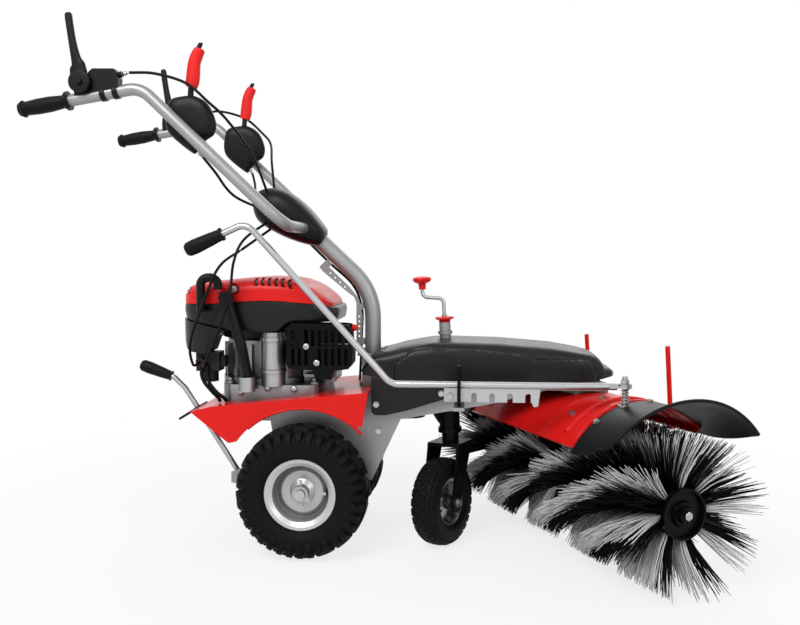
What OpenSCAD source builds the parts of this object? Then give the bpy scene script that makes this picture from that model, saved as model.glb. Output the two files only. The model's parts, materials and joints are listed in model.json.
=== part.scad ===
// Power brush sweeper: a walk-behind machine with an engine over two drive wheels,
// a jacked castor under the middle and a swinging brush head in front.
// Lengths are millimetres. X runs forward, Y to the machine's left, Z up.

/* [Drive wheels] */
// Outer diameter of a drive tyre over its lugs
tyre_d = 330; // [300:5:340]
// Width of a drive tyre
tyre_w = 127; // [110:1:130]
// Distance from the machine's middle to a drive wheel's middle
wheel_y = 168; // [165:1:180]
// Outer diameter of the drive rim's flange
rim_d = 176; // [160:2:190]
// Diameter of the drive axle
axle_d = 25; // [20:1:30]
// Height of a tread lug
lug_h = 11; // [6:1:12]
// Number of lugs on each side of a tread
lug_count = 15; // [10:1:18]

/* [Frame] */
// Distance from the machine's middle to a rail's outer face
rail_y = 89; // [80:1:92]
// Thickness of the frame's plates
plate_t = 5; // [4:0.5:8]
// Width of the column post along the machine
post_l = 50; // [40:1:54]
// Height of the column's foot plate above the ground
foot_z = 492; // [480:1:510]

/* [Engine deck] */
// Distance from the machine's middle to the deck's side skirt
deck_y = 175; // [165:1:185]
// Height of the deck's rear top edge
deck_rear_z = 372; // [365:1:380]
// Height of the deck's front top edge
deck_front_z = 412; // [405:1:420]
// Radius of the wheel arch
arch_r = 205; // [195:1:215]
// Sheet thickness of the deck
deck_t = 3; // [2:0.5:4]

/* [Belt cover] */
// Half width of the belt cover
cover_y = 110; // [104:1:120]
// Wall thickness of the belt cover
cover_t = 3; // [2:0.5:5]
// Height of the cover's highest point
cover_top_z = 529; // [515:1:545]

/* [Steering column and handlebar] */
// Diameter of the column tube
column_d = 42.4; // [38:0.1:48]
// Bend radius of the column
column_bend = 170; // [120:5:200]
// Diameter of the handlebar tube
bar_d = 28; // [25:1:30]
// Bend radius of the handlebar
bar_bend = 60; // [50:1:80]
// Distance from the machine's middle to a handle
handle_y = 285; // [270:1:300]
// Length of a handle grip
grip_l = 118; // [100:1:130]
// Largest diameter of a handle grip
grip_d = 36; // [34:1:40]

/* [Hand levers] */
// Length of a black hand lever from its pin
hand_lever_l = 165; // [140:1:175]
// Diameter of a hand lever's pin
lever_pin_d = 8; // [6:1:10]
// Squeeze of a hand lever from upright, in degrees
hand_lever_turn = 66; // [40:1:70]
// Radius of a lever quadrant
quadrant_r = 60; // [50:1:64]
// Thickness of a lever quadrant
quadrant_t = 26; // [24:1:34]
// Length of a red control lever from its pin
control_lever_l = 178; // [150:1:190]

/* [Steering rod] */
// Diameter of the steering rod
rod_d = 16; // [14:1:18]
// Height of the steering rod's level run above the hood's crown
rod_rise = 42; // [38:1:50]
// Distance from the machine's middle to the steering rod
rod_y = 250; // [240:1:255]
// Pitch of the comb's notches
notch_pitch = 41.5; // [38:0.5:43]
// Width of a comb notch
notch_w = 13; // [10:1:16]
// Height of the comb plate
comb_h = 32; // [28:1:40]
// Diameter of the rod's bolt
bolt_d = 12; // [10:1:14]
// Diameter of the catch bar
catch_d = 8; // [6:1:10]

/* [Jack and castor] */
// Place of the jack along the machine, at the frame's height
jack_x = 352; // [345:1:360]
// Lean of the jack to the rear, in degrees
jack_lean = 3; // [0:0.5:5]
// Outer diameter of the jack housing
jack_d = 54; // [50:1:58]
// Outer diameter of the castor stem
stem_d = 44; // [40:1:46]
// Outer diameter of the jack's neck
neck_d = 30; // [26:1:34]
// Diameter of the crank's spindle
spindle_d = 14; // [12:1:16]
// Trail of the castor wheel
trail = 58; // [45:1:70]
// Swivel of the castor at rest, in degrees
castor_turn = 62; // [0:1:90]
// Diameter of the castor tyre
castor_d = 224; // [200:2:240]
// Width of the castor tyre
castor_w = 70; // [60:1:76]
// Diameter of the castor's axle bolt
castor_axle_d = 16; // [12:1:18]

/* [Brush head] */
// Place of the head's pivot along the machine
pivot_x = 690; // [680:1:700]
// Swing of the head at rest, in degrees
head_yaw = 27; // [20:1:30]
// Height of the brush axis
brush_z = 186; // [184:1:200]
// Diameter over the bristle tips
brush_d = 366; // [330:2:368]
// Half length of the brush, to its end disc
brush_half = 405; // [380:1:430]
// Diameter of the brush core
core_d = 90; // [80:1:100]
// Diameter of the brush shaft
shaft_d = 25; // [20:1:30]
// Diameter of an end disc
disc_d = 114; // [100:1:120]
// Radius of the hood's outer face
hood_r = 218; // [214:1:222]
// Half width of the hood
hood_half = 275; // [260:1:290]
// Sheet thickness of the hood
hood_t = 2.5; // [2:0.5:4]
// Thickness of a rubber end flap
flap_t = 5; // [4:0.5:7]
// Reach of a flap from the middle of the head
flap_reach = 420; // [410:1:430]
// Diameter of a marker rod
marker_d = 12; // [10:1:14]
// Height of a marker rod
marker_h = 180; // [150:5:200]
// Distance of a marker rod from the middle of the hood
marker_y = 172; // [150:1:200]
// Outer diameter of the head's hollow pivot
pivot_d = 50; // [46:1:56]
// Diameter of the brush drive shaft
drive_d = 20; // [16:1:24]

/* [Bristles] */
// Rows of bristles on each half of the brush
rows_half = 14; // [10:1:15]
// Spiral strips of strands round the brush, each with a pale and a dark face
strips = 8; // [6:1:9]
// Twist of the strips along the brush, in degrees for each millimetre
strip_twist = 0.22; // [0.1:0.01:0.3]
// Turn from a strip's pale face to its dark face, in degrees
face_turn = 15; // [12:1:20]
// Thickness of a row of strands
row_t = 5; // [3:0.5:8]

/* [Drive] */
// Place of the engine's crankshaft along the machine
engine_x = -120; // [-130:1:-110]
// Place of the jackshaft along the machine
jackshaft_x = 247; // [244:1:255]
// Diameter of a belt pulley
pulley_d = 94; // [88:1:98]
// Thickness of a belt
belt_t = 9; // [8:1:10]
// Height of the rear belt
rear_belt_z = 333; // [331:1:335]

/* [Fits] */
// Radial clearance of a turning shaft
run_gap = 0.05; // [0.02:0.01:0.1]
// Gap between pieces that slide past each other
free_gap = 0.4; // [0.3:0.1:1]

/* [Hidden] */
nose_low = brush_z + hood_r + 13;
nose_top = nose_low + 16;
front_belt_z = nose_top + 22;
rod_z = brush_z + hood_r + rod_rise;
$fn = 64;
eps = 0.01;
seam_l = 0.8;
seam_d = 0.3;
// Distance from the drive axle forward to the middle of the whole machine
mid_x = 208;
wheel_z = tyre_d / 2;
brush_r = brush_d / 2;
comb_low = rod_z - rod_d / 2 - comb_h;
deck_rear_x = -230;
deck_front_x = 163;
deck_tail = [-283, 358];
deck_slope = (deck_front_z - deck_rear_z) / (deck_front_x - deck_rear_x);
post_x = 156;
turn_top = nose_low - free_gap;
jack_z = 430;
neck_top = jack_z + 143;
bar_end = [-636, 1087];
bar_knee = [-350, 1133];
bar_low = [-16, 816];
grip_dir = [bar_knee.x - bar_end.x, 0, bar_knee.y - bar_end.y];
lever_pin = [-485, 1145];
lever_side = 20;
lever_hub_d = 52;
control_lean = 3;
lever_t = 12;
control_pin = [-249, 1062];
control_y = 240;
rear_pin = [-189, 173];
rear_y = 60;
rear_rod_d = 14;
catch_x = 386;
rod_bolt_x = 766;
comb_rear_x = 351;
first_notch_x = 421;
notch_count = 4;
comb_t = 4;
seat_d = 34;
marker_x = (hood_r + 5.4) * cos(45);
marker_lean = 4.5;
marker_low = 330;
tyre_crown = 30;
castor_rim_d = 122;
fork_gap = 5;
crank_h = 62;
castor_drop = (jack_z - trail * cos(castor_turn) * sin(jack_lean) - castor_height()) / cos(jack_lean);

// Frames of reference

// From the point under the drive axle to the middle of the machine
module from_axle() translate([-mid_x, 0, 0]) children();

// The leaning jack: local Z along the jack, origin at the frame's height
module jack_frame() from_axle() translate([jack_x, 0, jack_z]) rotate([0, -jack_lean, 0]) children();

// The castor: local -X trails, origin at the wheel's height on the jack's axis
module castor_frame() jack_frame() rotate([0, 0, castor_turn]) translate([0, 0, -castor_drop]) children();

// The swinging head: local X forward, local Y along the brush, origin on the ground under the pivot
module head_frame() from_axle() translate([pivot_x, 0, 0]) rotate([0, 0, head_yaw]) children();

// Height of the castor wheel's middle, for a round tread on a leaning wheel
function castor_height() =
    (castor_d / 2 - tyre_crown) * sqrt(1 - pow(sin(castor_turn) * sin(jack_lean), 2)) + tyre_crown;

// Height of the deck's top face
function deck_z(x) = deck_rear_z + (x - deck_rear_x) * deck_slope;

// Shared shapes

function unit(v) = v / norm(v);
function turning(a, b, c) = acos(unit(b - a) * unit(c - b));
function trimmed(p, i, bend) =
    (i == 0 || i == len(p) - 1) ? 0 : bend * tan(turning(p[i - 1], p[i], p[i + 1]) / 2);

// Round bar between two points
module bar(a, b, d) {
    v = b - a;
    translate(a) rotate([0, acos(v.z / norm(v)), atan2(v.y, v.x)]) cylinder(h = norm(v), d = d);
}

// Round elbow from the way a-b to the way b-c
module elbow(a, b, c, d, bend) {
    u = unit(b - a);
    w = unit(c - b);
    n = unit(w - u * (w * u));
    t = bend * tan(turning(a, b, c) / 2);
    o = b - u * t + n * bend;
    z = cross(-n, u);
    multmatrix([[-n.x, u.x, z.x, o.x], [-n.y, u.y, z.y, o.y], [-n.z, u.z, z.z, o.z], [0, 0, 0, 1]])
        rotate_extrude(angle = turning(a, b, c)) translate([bend, 0]) circle(d = d);
}

// Bent tube through points, with one bend radius and a fine seam at each end of a bend
module pipe(p, d, bend) {
    for (i = [0 : len(p) - 2]) {
        u = unit(p[i + 1] - p[i]);
        bar(p[i] + u * trimmed(p, i, bend), p[i + 1] - u * trimmed(p, i + 1, bend), d);
    }
    for (i = [1 : 1 : len(p) - 2]) {
        t = trimmed(p, i, bend);
        elbow(p[i - 1], p[i], p[i + 1], d, bend);
        for (u = [unit(p[i - 1] - p[i]), unit(p[i + 1] - p[i])])
            bar(p[i] + u * (t - seam_l), p[i] + u * (t + seam_l), d + seam_d);
    }
}

// Plate with an outline in X and Z, centred on a Y plane
module side_plate(y, t) translate([0, y + t / 2, 0]) rotate([90, 0, 0]) linear_extrude(t) children();

// Turn about an upright axis at a place along the machine
module rotate_about(x, a) translate([x, 0, 0]) rotate([0, 0, a]) children();

// Round bar along Y, centred
module cross_bar(p, y, l, d) translate([p.x, y + l / 2, p.y]) rotate([90, 0, 0]) cylinder(h = l, d = d);

// Box by its low and high corners
module block(a, b) translate(a) cube(b - a);

// Hexagon bolt head with its washer, standing on its local XY plane
module bolt_head(d) {
    cylinder(h = d * 0.15, d = d * 2.2);
    translate([0, 0, d * 0.15]) cylinder(h = d * 0.6, d = d * 1.8, $fn = 6);
}

// Smooth curve through points, for cables
function curve_at(p, i, t) =
    let (a = p[max(i - 1, 0)], b = p[i], c = p[i + 1], e = p[min(i + 2, len(p) - 1)])
    0.5 * (2 * b + (c - a) * t + (2 * a - 5 * b + 4 * c - e) * t * t + (3 * b - a - 3 * c + e)
        * t * t * t);
function curve(p, steps) =
    concat([for (i = [0 : len(p) - 2]) for (k = [0 : steps - 1]) curve_at(p, i, k / steps)], [p[len(p)
        - 1]]);
function way_at(p, i) = unit(p[min(i + 1, len(p) - 1)] - p[max(i - 1, 0)]);

// Smooth closed outline through points
function loop_at(p, i, t) = let (n = len(p), a = p[(i + n - 1) % n], b = p[i], c = p[(i + 1) % n],
    e = p[(i + 2) % n])
    0.5 * (2 * b + (c - a) * t + (2 * a - 5 * b + 4 * c - e) * t * t + (3 * b - a - 3 * c + e)
        * t * t * t);
function loop(p, steps) = [for (i = [0 : len(p) - 1], k = [0 : steps - 1]) loop_at(p, i, k / steps)];

// Swelling outline between an ellipse and a rectangle, with half sizes a and b
function swell(a, b, n, steps) = [for (i = [0 : steps - 1]) let (t = 360 * (i + 0.5) / steps)
    [a * sign(cos(t)) * pow(abs(cos(t)), 2 / n), b * sign(sin(t)) * pow(abs(sin(t)), 2 / n)]];

// A prism along the machine from an outline across it
module end_plate(x, l) translate([x - l / 2, 0, 0]) rotate([90, 0, 90]) linear_extrude(l) children();

// Tube swept along a line of points, with rings of a few sides
module swept(p, d, sides) {
    n = len(p);
    ref = [0.31, 0.87, 0.39];
    pts = [for (i = [0 : n - 1]) let (t = way_at(p, i), s = unit(cross(t, ref)), u = cross(s, t))
        for (k = [0 : sides - 1]) p[i] + (s * cos(360 * k / sides) + u * sin(360 * k / sides)) * d / 2];
    walls = [for (i = [0 : n - 2]) for (k = [0 : sides - 1])
        let (a = i * sides + k, b = i * sides + (k + 1) % sides)
        each [[a, b, a + sides], [b, b + sides, a + sides]]];
    near = [for (k = [1 : sides - 2]) [0, k + 1, k]];
    far = [for (k = [1 : sides - 2]) let (o = (n - 1) * sides) [o, o + k, o + k + 1]];
    polyhedron(pts, concat(walls, near, far));
}

// V-belt pulley, centred on its belt
module pulley(d) rotate_extrude() polygon([
    [0, -9], [d / 2, -9], [d / 2, -7], [d / 2 - 11, -3.5], [d / 2 - 11, 3.5], [d / 2, 7], [d / 2, 9],
        [0, 9]]);

// Frame

module rail_outline() polygon([
    [deck_rear_x, 322], [-100, 322], [-70, 140], [60, 140], [163, 174], [236, 331], [462, 373],
        [560, nose_low - 17],
    [600, nose_low - 7], [738, nose_low - 7], [738, nose_top], [462, 428],
        [deck_front_x, deck_z(deck_front_x) - deck_t],
    [deck_rear_x, deck_z(deck_rear_x) - deck_t]]);

// Welded frame: rails, axle plates, column post, jack bridges, bearing plates and catch arm
module main_frame() color("#a9abad") from_axle() difference() {
    union() {
        for (s = [-1, 1]) side_plate(s * (rail_y - plate_t / 2), plate_t) rail_outline();
        block([632, -rail_y, nose_low], [738, rail_y, nose_top]);
        translate([pivot_x, 0, nose_low]) cylinder(h = nose_top - nose_low + 4, d = pivot_d + 24);
        for (z = [354, 410]) block([jack_x - 46, -rail_y, z], [jack_x + 46, rail_y, z + 8]);
        block([jackshaft_x - 32, -rail_y, 384], [jackshaft_x + 32, rail_y, 392]);
        translate([jackshaft_x, 0, 376]) cylinder(h = 30, d = drive_d + 20);
        block([post_x - post_l / 2, -38, 348], [post_x + post_l / 2, 38, foot_z - 6]);
        block([post_x - post_l / 2, -rail_y, 348], [post_x + post_l / 2, rail_y, 356]);
        block([deck_rear_x, -rail_y, 326], [deck_rear_x + 6, rail_y, 352]);
        block([catch_x - 12, -rod_y - 34, comb_low - free_gap - catch_d - 8],
              [catch_x + 12, -rail_y, comb_low - free_gap - catch_d - 0.3]);
        side_plate(-rail_y + plate_t / 2, plate_t)
            polygon([[-90, 230], [rear_pin.x - 16, 186], [rear_pin.x - 16, 158], [-66, 142]]);
        cross_bar(rear_pin, -(rail_y + rear_y) / 2 + 5, rail_y - rear_y + 16, 12);
    }
    translate([pivot_x, 0, 0]) cylinder(h = 600, d = pivot_d + 2 * run_gap);
    translate([jackshaft_x, 0, 300]) cylinder(h = 200, d = drive_d + 2 * run_gap);
    cross_bar([0, wheel_z], 0, 400, axle_d + 3);
    block([post_x - post_l / 2 + plate_t, -38 + plate_t, 340],
        [post_x + post_l / 2 - plate_t, 38 - plate_t, 480]);
    translate([jack_x, 0, jack_z]) rotate([0, -jack_lean, 0]) translate([0, 0, -150])
        cylinder(h = 200, d = jack_d);
}

// Red engine deck: sloping top sheet and two side skirts with rolled wheel arches
module engine_deck() color("#d2201c") from_axle() difference() {
    union() {
        for (s = [-1, 1]) side_plate(s * (deck_y - deck_t / 2), deck_t) difference() {
            polygon([deck_tail, [deck_rear_x, deck_rear_z], [deck_front_x, deck_front_z], [148, 327],
                     [0, 320], [-187, 281]]);
            translate([0, wheel_z]) circle(arch_r);
        }
        side_plate(0, 2 * deck_y) polygon([
            deck_tail, [deck_rear_x, deck_rear_z], [deck_front_x, deck_front_z],
            [deck_front_x, deck_front_z - deck_t], [deck_rear_x, deck_rear_z - deck_t],
            [deck_tail.x, deck_tail.y - deck_t]]);
        for (s = [-1, 1]) translate([0, s * (deck_y - 3), wheel_z]) rotate([90, -44, 0])
            rotate_extrude(angle = 268 - 360 + 180) translate([arch_r, 0]) circle(d = 7);
    }
    translate([engine_x, 0, 300]) cylinder(h = 200, d = 80);
    block([deck_front_x - 40, -40, 380], [deck_front_x + 1, 40, 420]);
}

// Drive gear case round the axle
module gearbox() color("#55585a") from_axle() difference() {
    union() {
        cross_bar([0, wheel_z], 0, 2 * (rail_y - plate_t), 96);
        cross_bar([0, wheel_z], 0, 80, 130);
        translate([40, 0, wheel_z + 30]) cylinder(h = 100, d = 70);
        block([-62, -36, wheel_z], [40, 36, wheel_z + 90]);
    }
    cross_bar([0, wheel_z], 0, 400, axle_d + 2 * run_gap);
}

// Belt cover

function cover_side(w) = [
    [140 + w, 446], [142 + w, 468 - w], [152 + w, 482 - w], [169 + w, 495 - w], [211, 505 - w],
        [240, 516 - w],
    [286, cover_top_z - 6 - w], [316, cover_top_z - 1 - w], [361, cover_top_z - w],
        [485, cover_top_z - 3 - w],
    [616, cover_top_z - 13 - w], [676, cover_top_z - 23 - w], [708 - w / 2, cover_top_z - 30 - w],
        [726 - w, 500 - w],
    [738 - w, 484 - w / 2], [746 - w, 464], [766 - w, 458], [768 - w, 448], [758 - w, 441], [730, 437],
        [412, 415]];
function cover_plan(w) = [
    [140 + w, -cover_y + 8 + w], [200, -cover_y + w], [560, -cover_y + w], [690, -cover_y + 14 + w],
    [740, -cover_y + 36 + w], [768 - w, -50 + w], [774 - w, -20], [774 - w, 20], [768 - w, 50 - w],
    [740, cover_y - 36 - w], [690, cover_y - 14 - w], [560, cover_y - w], [200, cover_y - w],
    [140 + w, cover_y - 8 - w]];
module cover_body(w) intersection() {
    side_plate(0, 2 * cover_y + 2) polygon(cover_side(w));
    translate([0, 0, 390 - w]) linear_extrude(160) polygon(cover_plan(w));
    end_plate(450, 800) translate([0, 430]) polygon(swell(cover_y + 4 - w, cover_top_z - 428 - w, 5, 40));
}

// Moulded belt cover: a shell with a raised ridge, open below, notched round the column post
module belt_cover() color("#1d1e20") difference() {
    from_axle() difference() {
        union() {
            cover_body(0);
            intersection() {
                side_plate(0, 2 * cover_y + 8) polygon(concat(
                    curve([[224, 474], [236, 481], [258, 500], [274, 510], [300, 513]], 3),
                    curve([[420, 510], [540, 499], [560, 491], [576, 487], [680, 486], [704, 482],
                        [714, 470],
                           [720, 452]], 3), [[700, 441], [412, 418], [224, 440]]));
                translate([0, 0, 390]) linear_extrude(160) polygon([
                    for (p = cover_plan(0)) [p.x, p.y + sign(p.y) * 2.5]]);
            }
            translate([766, 0, 440]) cylinder(h = 14, d = 26);
        }
        difference() {
            cover_body(cover_t);
            for (s = [-1, 1]) block([400, s * (rail_y + 10) - 4, 430], [440, s * (rail_y + 10) + 4, 540]);
        }
        translate([0, 0, -1]) side_plate(0, 2 * cover_y - 2 * cover_t - 16) polygon([
            [160, 400], [160, 447], [412, 420], [730, 440], [748, 440], [748, 400]]);
        block([100, -40 - free_gap, 400], [post_x + 36 + free_gap, 40 + free_gap, 560]);
        translate([766, 0, 430]) cylinder(h = 40, d = 8);
    }
    jack_frame() cylinder(h = 200, d = neck_d + 2 * free_gap);
}

// Flat lower panels beside the rails, each with flanges that seat on its rail
module cover_panels() color("#2b2c2e") from_axle() difference() {
    for (s = [-1, 1]) {
        side_plate(s * (cover_y + 2 - cover_t / 2), cover_t)
            polygon([[164, 440], [412, 411], [412, 400], [346, 387], [254, 358], [200, 345],
                [172, 345], [164, 353]]);
        block([170, s > 0 ? rail_y : -cover_y, 348], [205, s > 0 ? cover_y : -rail_y, 351]);
        block([170, s > 0 ? rail_y : -cover_y, 402], [400, s > 0 ? cover_y : -rail_y, 405]);
    }
    block([catch_x - 13, -rod_y, comb_low - free_gap - catch_d - 9],
          [catch_x + 13, -rail_y + 1, comb_low - free_gap - catch_d + 1]);
}

// Steering column and handlebar

column_knee = [post_x, 0, 655];
column_way = unit([bar_low.x - column_knee.x, 0, bar_low.y - column_knee.z]);

// Column tube with its foot plate and the perforated cable bracket behind the bend
module column_tube() color("#aeb0b1") from_axle() {
    top = [bar_low.x, 0, bar_low.y] - column_way * (bar_d / 2 + 0.2);
    pipe([[post_x, 0, foot_z - 6], column_knee, top], column_d, column_bend);
    difference() {
        translate([post_x - 36, -40, foot_z - 6]) cube([72, 80, 8]);
        for (x = [-25, 25], y = [-28, 28]) translate([post_x + x, y, foot_z - 20])
            cylinder(h = 40, d = 9);
    }
    difference() {
        side_plate(0, 3) polygon([
            [112, 512], [post_x, 512], [post_x, 528], [127, 530], [128, 590], [118, 634], [96, 662],
            [40, 716], [48, 724], [36, 738], [14, 716], [24, 704], [84, 654], [106, 637], [112, 622]]);
        for (k = [0 : 4]) cross_bar([119.5, 534 + 13 * k], 0, 20, 5);
        for (k = [0 : 3]) cross_bar([82 - 13 * k, 664 + 12 * k], 0, 20, 5);
    }
    side_plate(0, 3) polygon([[116, 600], [150, 616], [146, 632], [114, 616]]);
}

// U-shaped handlebar
module handlebar() color("#b4b6b7") from_axle() pipe([
    for (s = [-1, 1]) each [for (p = s < 0 ? [bar_end, bar_knee, bar_low] : [bar_low, bar_knee, bar_end])
        [p.x, s * handle_y, p.y]]], bar_d, bar_bend);

// Blind hole for a cable's end, a little wider than the cable
module cable_port(route, last) {
    c = last ? [for (i = [len(route) - 1 : -1 : 0]) route[i]] : route;
    line = curve(c, 2);
    bar(line[0] + unit(line[0] - line[1]) * 0.3, line[1], 9.8);
    bar(line[1] + unit(line[1] - line[2]) * 2, line[2], 10.6);
}

// Console shell over the joint of column and crossbar, cut out for both tubes
module console_shell() color("#1b1c1e") from_axle() difference() {
    intersection() {
        side_plate(0, 200) polygon(loop([
            [-158, 892], [-138, 916], [-100, 922], [-56, 908], [-6, 866], [30, 818], [32, 792],
                [14, 772], [-34, 780],
            [-94, 804], [-146, 840]], 4));
        translate([-64, 0, 846]) rotate([0, 40, 0]) linear_extrude(400, center = true)
            polygon(swell(122, 66, 3, 48));
        translate([-64, 0, 843]) rotate([0, 40, 0]) rotate([0, 90, 0]) linear_extrude(400, center = true)
            polygon(swell(64, 66, 3.2, 48));
    }
    for (r = [right_hand_route, left_hand_route, right_lever_route, left_lever_route])
        cable_port(r, true);
    for (r = [engine_route, throttle_route, clutch_route]) cable_port(r, false);
    cross_bar(bar_low, 0, 400, bar_d + 2 * free_gap);
    bar([bar_low.x, 0, bar_low.y], [bar_low.x, 0, bar_low.y] - column_way * 200, column_d + 2 * free_gap);
}

// A frame along a handle's tube: local Z from the tube's end towards the knee
module handle_frame(s) from_axle() translate([bar_end.x, s * handle_y, bar_end.y])
    rotate([0, acos(grip_dir.z / norm(grip_dir)), 0]) children();

// Two bulged grips with end flanges
module handle_grips() color("#161617") for (s = [-1, 1]) handle_frame(s) rotate_extrude() polygon([
    [0, -4], [15, -4], [grip_d / 2 - 1, 0], [grip_d / 2 + 2, 6], [grip_d / 2 - 2, 12],
        [grip_d / 2, 40], [grip_d / 2, 70],
    [grip_d / 2 - 3, grip_l - 14], [grip_d / 2 + 4, grip_l - 6], [grip_d / 2 + 4, grip_l],
    [bar_d / 2 + 0.1, grip_l], [bar_d / 2 + 0.1, 0], [0, 0]]);

// Clamp brackets of the hand levers, each with its pin and cable adjuster
module lever_brackets() color("#1a1a1b") for (s = [-1, 1]) difference() {
    union() {
        from_axle() {
            side_plate(s * handle_y, 26) polygon([
                [-502, 1110], [-504, 1140], [-480, 1150], [-466, 1170], [-458, 1176], [-408, 1175],
                    [-402, 1170],
                [-397, 1154], [-400, 1127]]);
            cross_bar(lever_pin, s * handle_y, 26, 36);
            cross_bar(lever_pin, s * (handle_y + lever_side + 2), 30, lever_pin_d);
            cross_bar(lever_pin, s * (handle_y + lever_side + lever_t / 2 + free_gap + 3), 6, 16);
            bar([-412, s * handle_y, 1160], [-384, s * handle_y, 1166], 9);
            bar([-400, s * handle_y, 1162.6], [-392, s * handle_y, 1164.3], 14);
        }
        handle_frame(s) for (z = [196, 226]) translate([0, 0, z]) cylinder(h = 12, d = bar_d + 5);
    }
    handle_frame(s) translate([0, 0, 100]) cylinder(h = 180, d = bar_d + 0.2);
}

// Black lever quadrants inside the handles, each clamped to its tube
module lever_quadrants() color("#18181a") for (s = [-1, 1]) from_axle() difference() {
    union() {
        translate([control_pin.x, s * control_y, control_pin.y]) rotate([90, 0, 0]) rotate_extrude()
            polygon(concat([[0, -quadrant_t / 2]],
                [for (a = [-90 : 15 : 90]) [quadrant_r - 14 + 14 * cos(a), quadrant_t / 2 * sin(a)]],
                [[0, quadrant_t / 2]]));
        side_plate(s * control_y, quadrant_t - 4) polygon([
            [-300, 1070], [-294, 1046], [-284, 1037], [-236, 990], [-230, 987], [-217, 999],
                [-226, 1040]]);
        bar([-252, s * handle_y, 1039.9], [-236, s * handle_y, 1024.7], bar_d + 4);
        block([-254, s > 0 ? control_y : -handle_y + 12, 1020],
            [-234, s > 0 ? handle_y - 12 : -control_y, 1044]);
    }
    difference() {
        translate([0, s * control_y, 0]) side_plate(0, lever_t / 2 + 2 * free_gap) translate(control_pin)
            intersection() {
                circle(quadrant_r + 5);
                polygon([[-22, -22], [-80, 70], [90, 90], [22, -22]]);
            }
        cross_bar(control_pin, s * control_y, quadrant_t, 10);
    }
    bar([bar_knee.x, s * handle_y, bar_knee.y], [bar_low.x, s * handle_y, bar_low.y], bar_d + 0.2);
}

// Control cables: sleeved wires from the levers to the console, the engine and the gear case
right_hand_route = [[-382.8, -285, 1166.2], [-322, -268, 1168], [-250, -264, 1146], [-200, -260, 1104],
    [-165, -222, 1066], [-136, -110, 1000], [-112, -40, 905]];
left_hand_route = [for (p = right_hand_route) [p.x, -p.y, p.z]];
right_lever_route = [[-224, -240, 985.3], [-206, -196, 950], [-180, -120, 896], [-118, -44, 862]];
left_lever_route = [for (p = right_lever_route) [p.x, -p.y, p.z]];
engine_route = [[-96, -24, 846], [-160, -90, 790], [-168, -170, 732], [-170, -206, 650],
    [-200, -206, 560],
    [-246, -170, 476], [-256, -112.6, 470]];
throttle_route = [[-84, -4, 836], [-168, -70, 766], [-196, -192, 722], [-228, -204, 650],
    [-270, -200, 540],
    [-276, -166, 476], [-272, -127.4, 478]];
clutch_route = [[-40, 26, 802], [34, 36, 728], [98, 36, 668], [122, 36, 606], [122, 38, 545],
    [116, 60, 470], [112, 66, 407.8]];
module control_cables() color("#0e0e0f") from_axle() {
    for (r = [right_hand_route, left_hand_route]) swept(curve(r, 2), 6, 8);
    for (r = [right_lever_route, left_lever_route]) swept(curve(r, 2), 6, 8);
    for (r = [engine_route, throttle_route, clutch_route]) swept(curve(r, 2), 7, 8);
}

// Black guide for the steering rod: a U-shaped bar whose foot catches the comb
module rod_guide() color("#141414") from_axle() {
    z = comb_low - free_gap - catch_d / 2;
    pipe([[catch_x, -rod_y - 25, z + 92], [catch_x, -rod_y - 25, z], [catch_x, -rod_y + 21, z],
          [catch_x, -rod_y + 21, z + 84]], catch_d, catch_d);
}

// Bolts of the column's foot and of the cover panels
module frame_bolts() color("#c9cacb") from_axle() {
    for (x = [-25, 25], y = [-28, 28]) translate([post_x + x, y, foot_z + 2]) bolt_head(9);
    for (s = [-1, 1], p = [[176, 372], [340, 402]])
        translate([p.x, s * (cover_y + 2), p.y]) rotate([-s * 90, 0, 0]) bolt_head(7);
    for (s = [-1, 1], p = [[110, 250], [180, 300], [60, 300]])
        translate([p.x, s * rail_y, p.y]) rotate([-s * 90, 0, 0]) bolt_head(8);
}

// Slotted black plate at the deck's rear edge for the rear lever
module lever_slot_plate() color("#1c1c1d") from_axle() difference() {
    translate([-313, -rear_y, 340]) rotate([0, -32, 0]) difference() {
        translate([-33, -30, -3]) cube([68, 60, 6]);
        translate([-25, -rear_rod_d / 2 - 1, -10]) cube([49, rear_rod_d + 2, 20]);
    }
    side_plate(0, 2 * deck_y) polygon([
        [deck_tail.x, deck_tail.y - 60], deck_tail, [deck_rear_x, deck_rear_z], [deck_rear_x, 300]]);
}

// Engine

engine_mid = -113;
module engine_plan(a, b) translate([engine_mid, 0, 350]) linear_extrude(400)
    polygon(swell(a, b, 3.6, 48));

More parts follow.
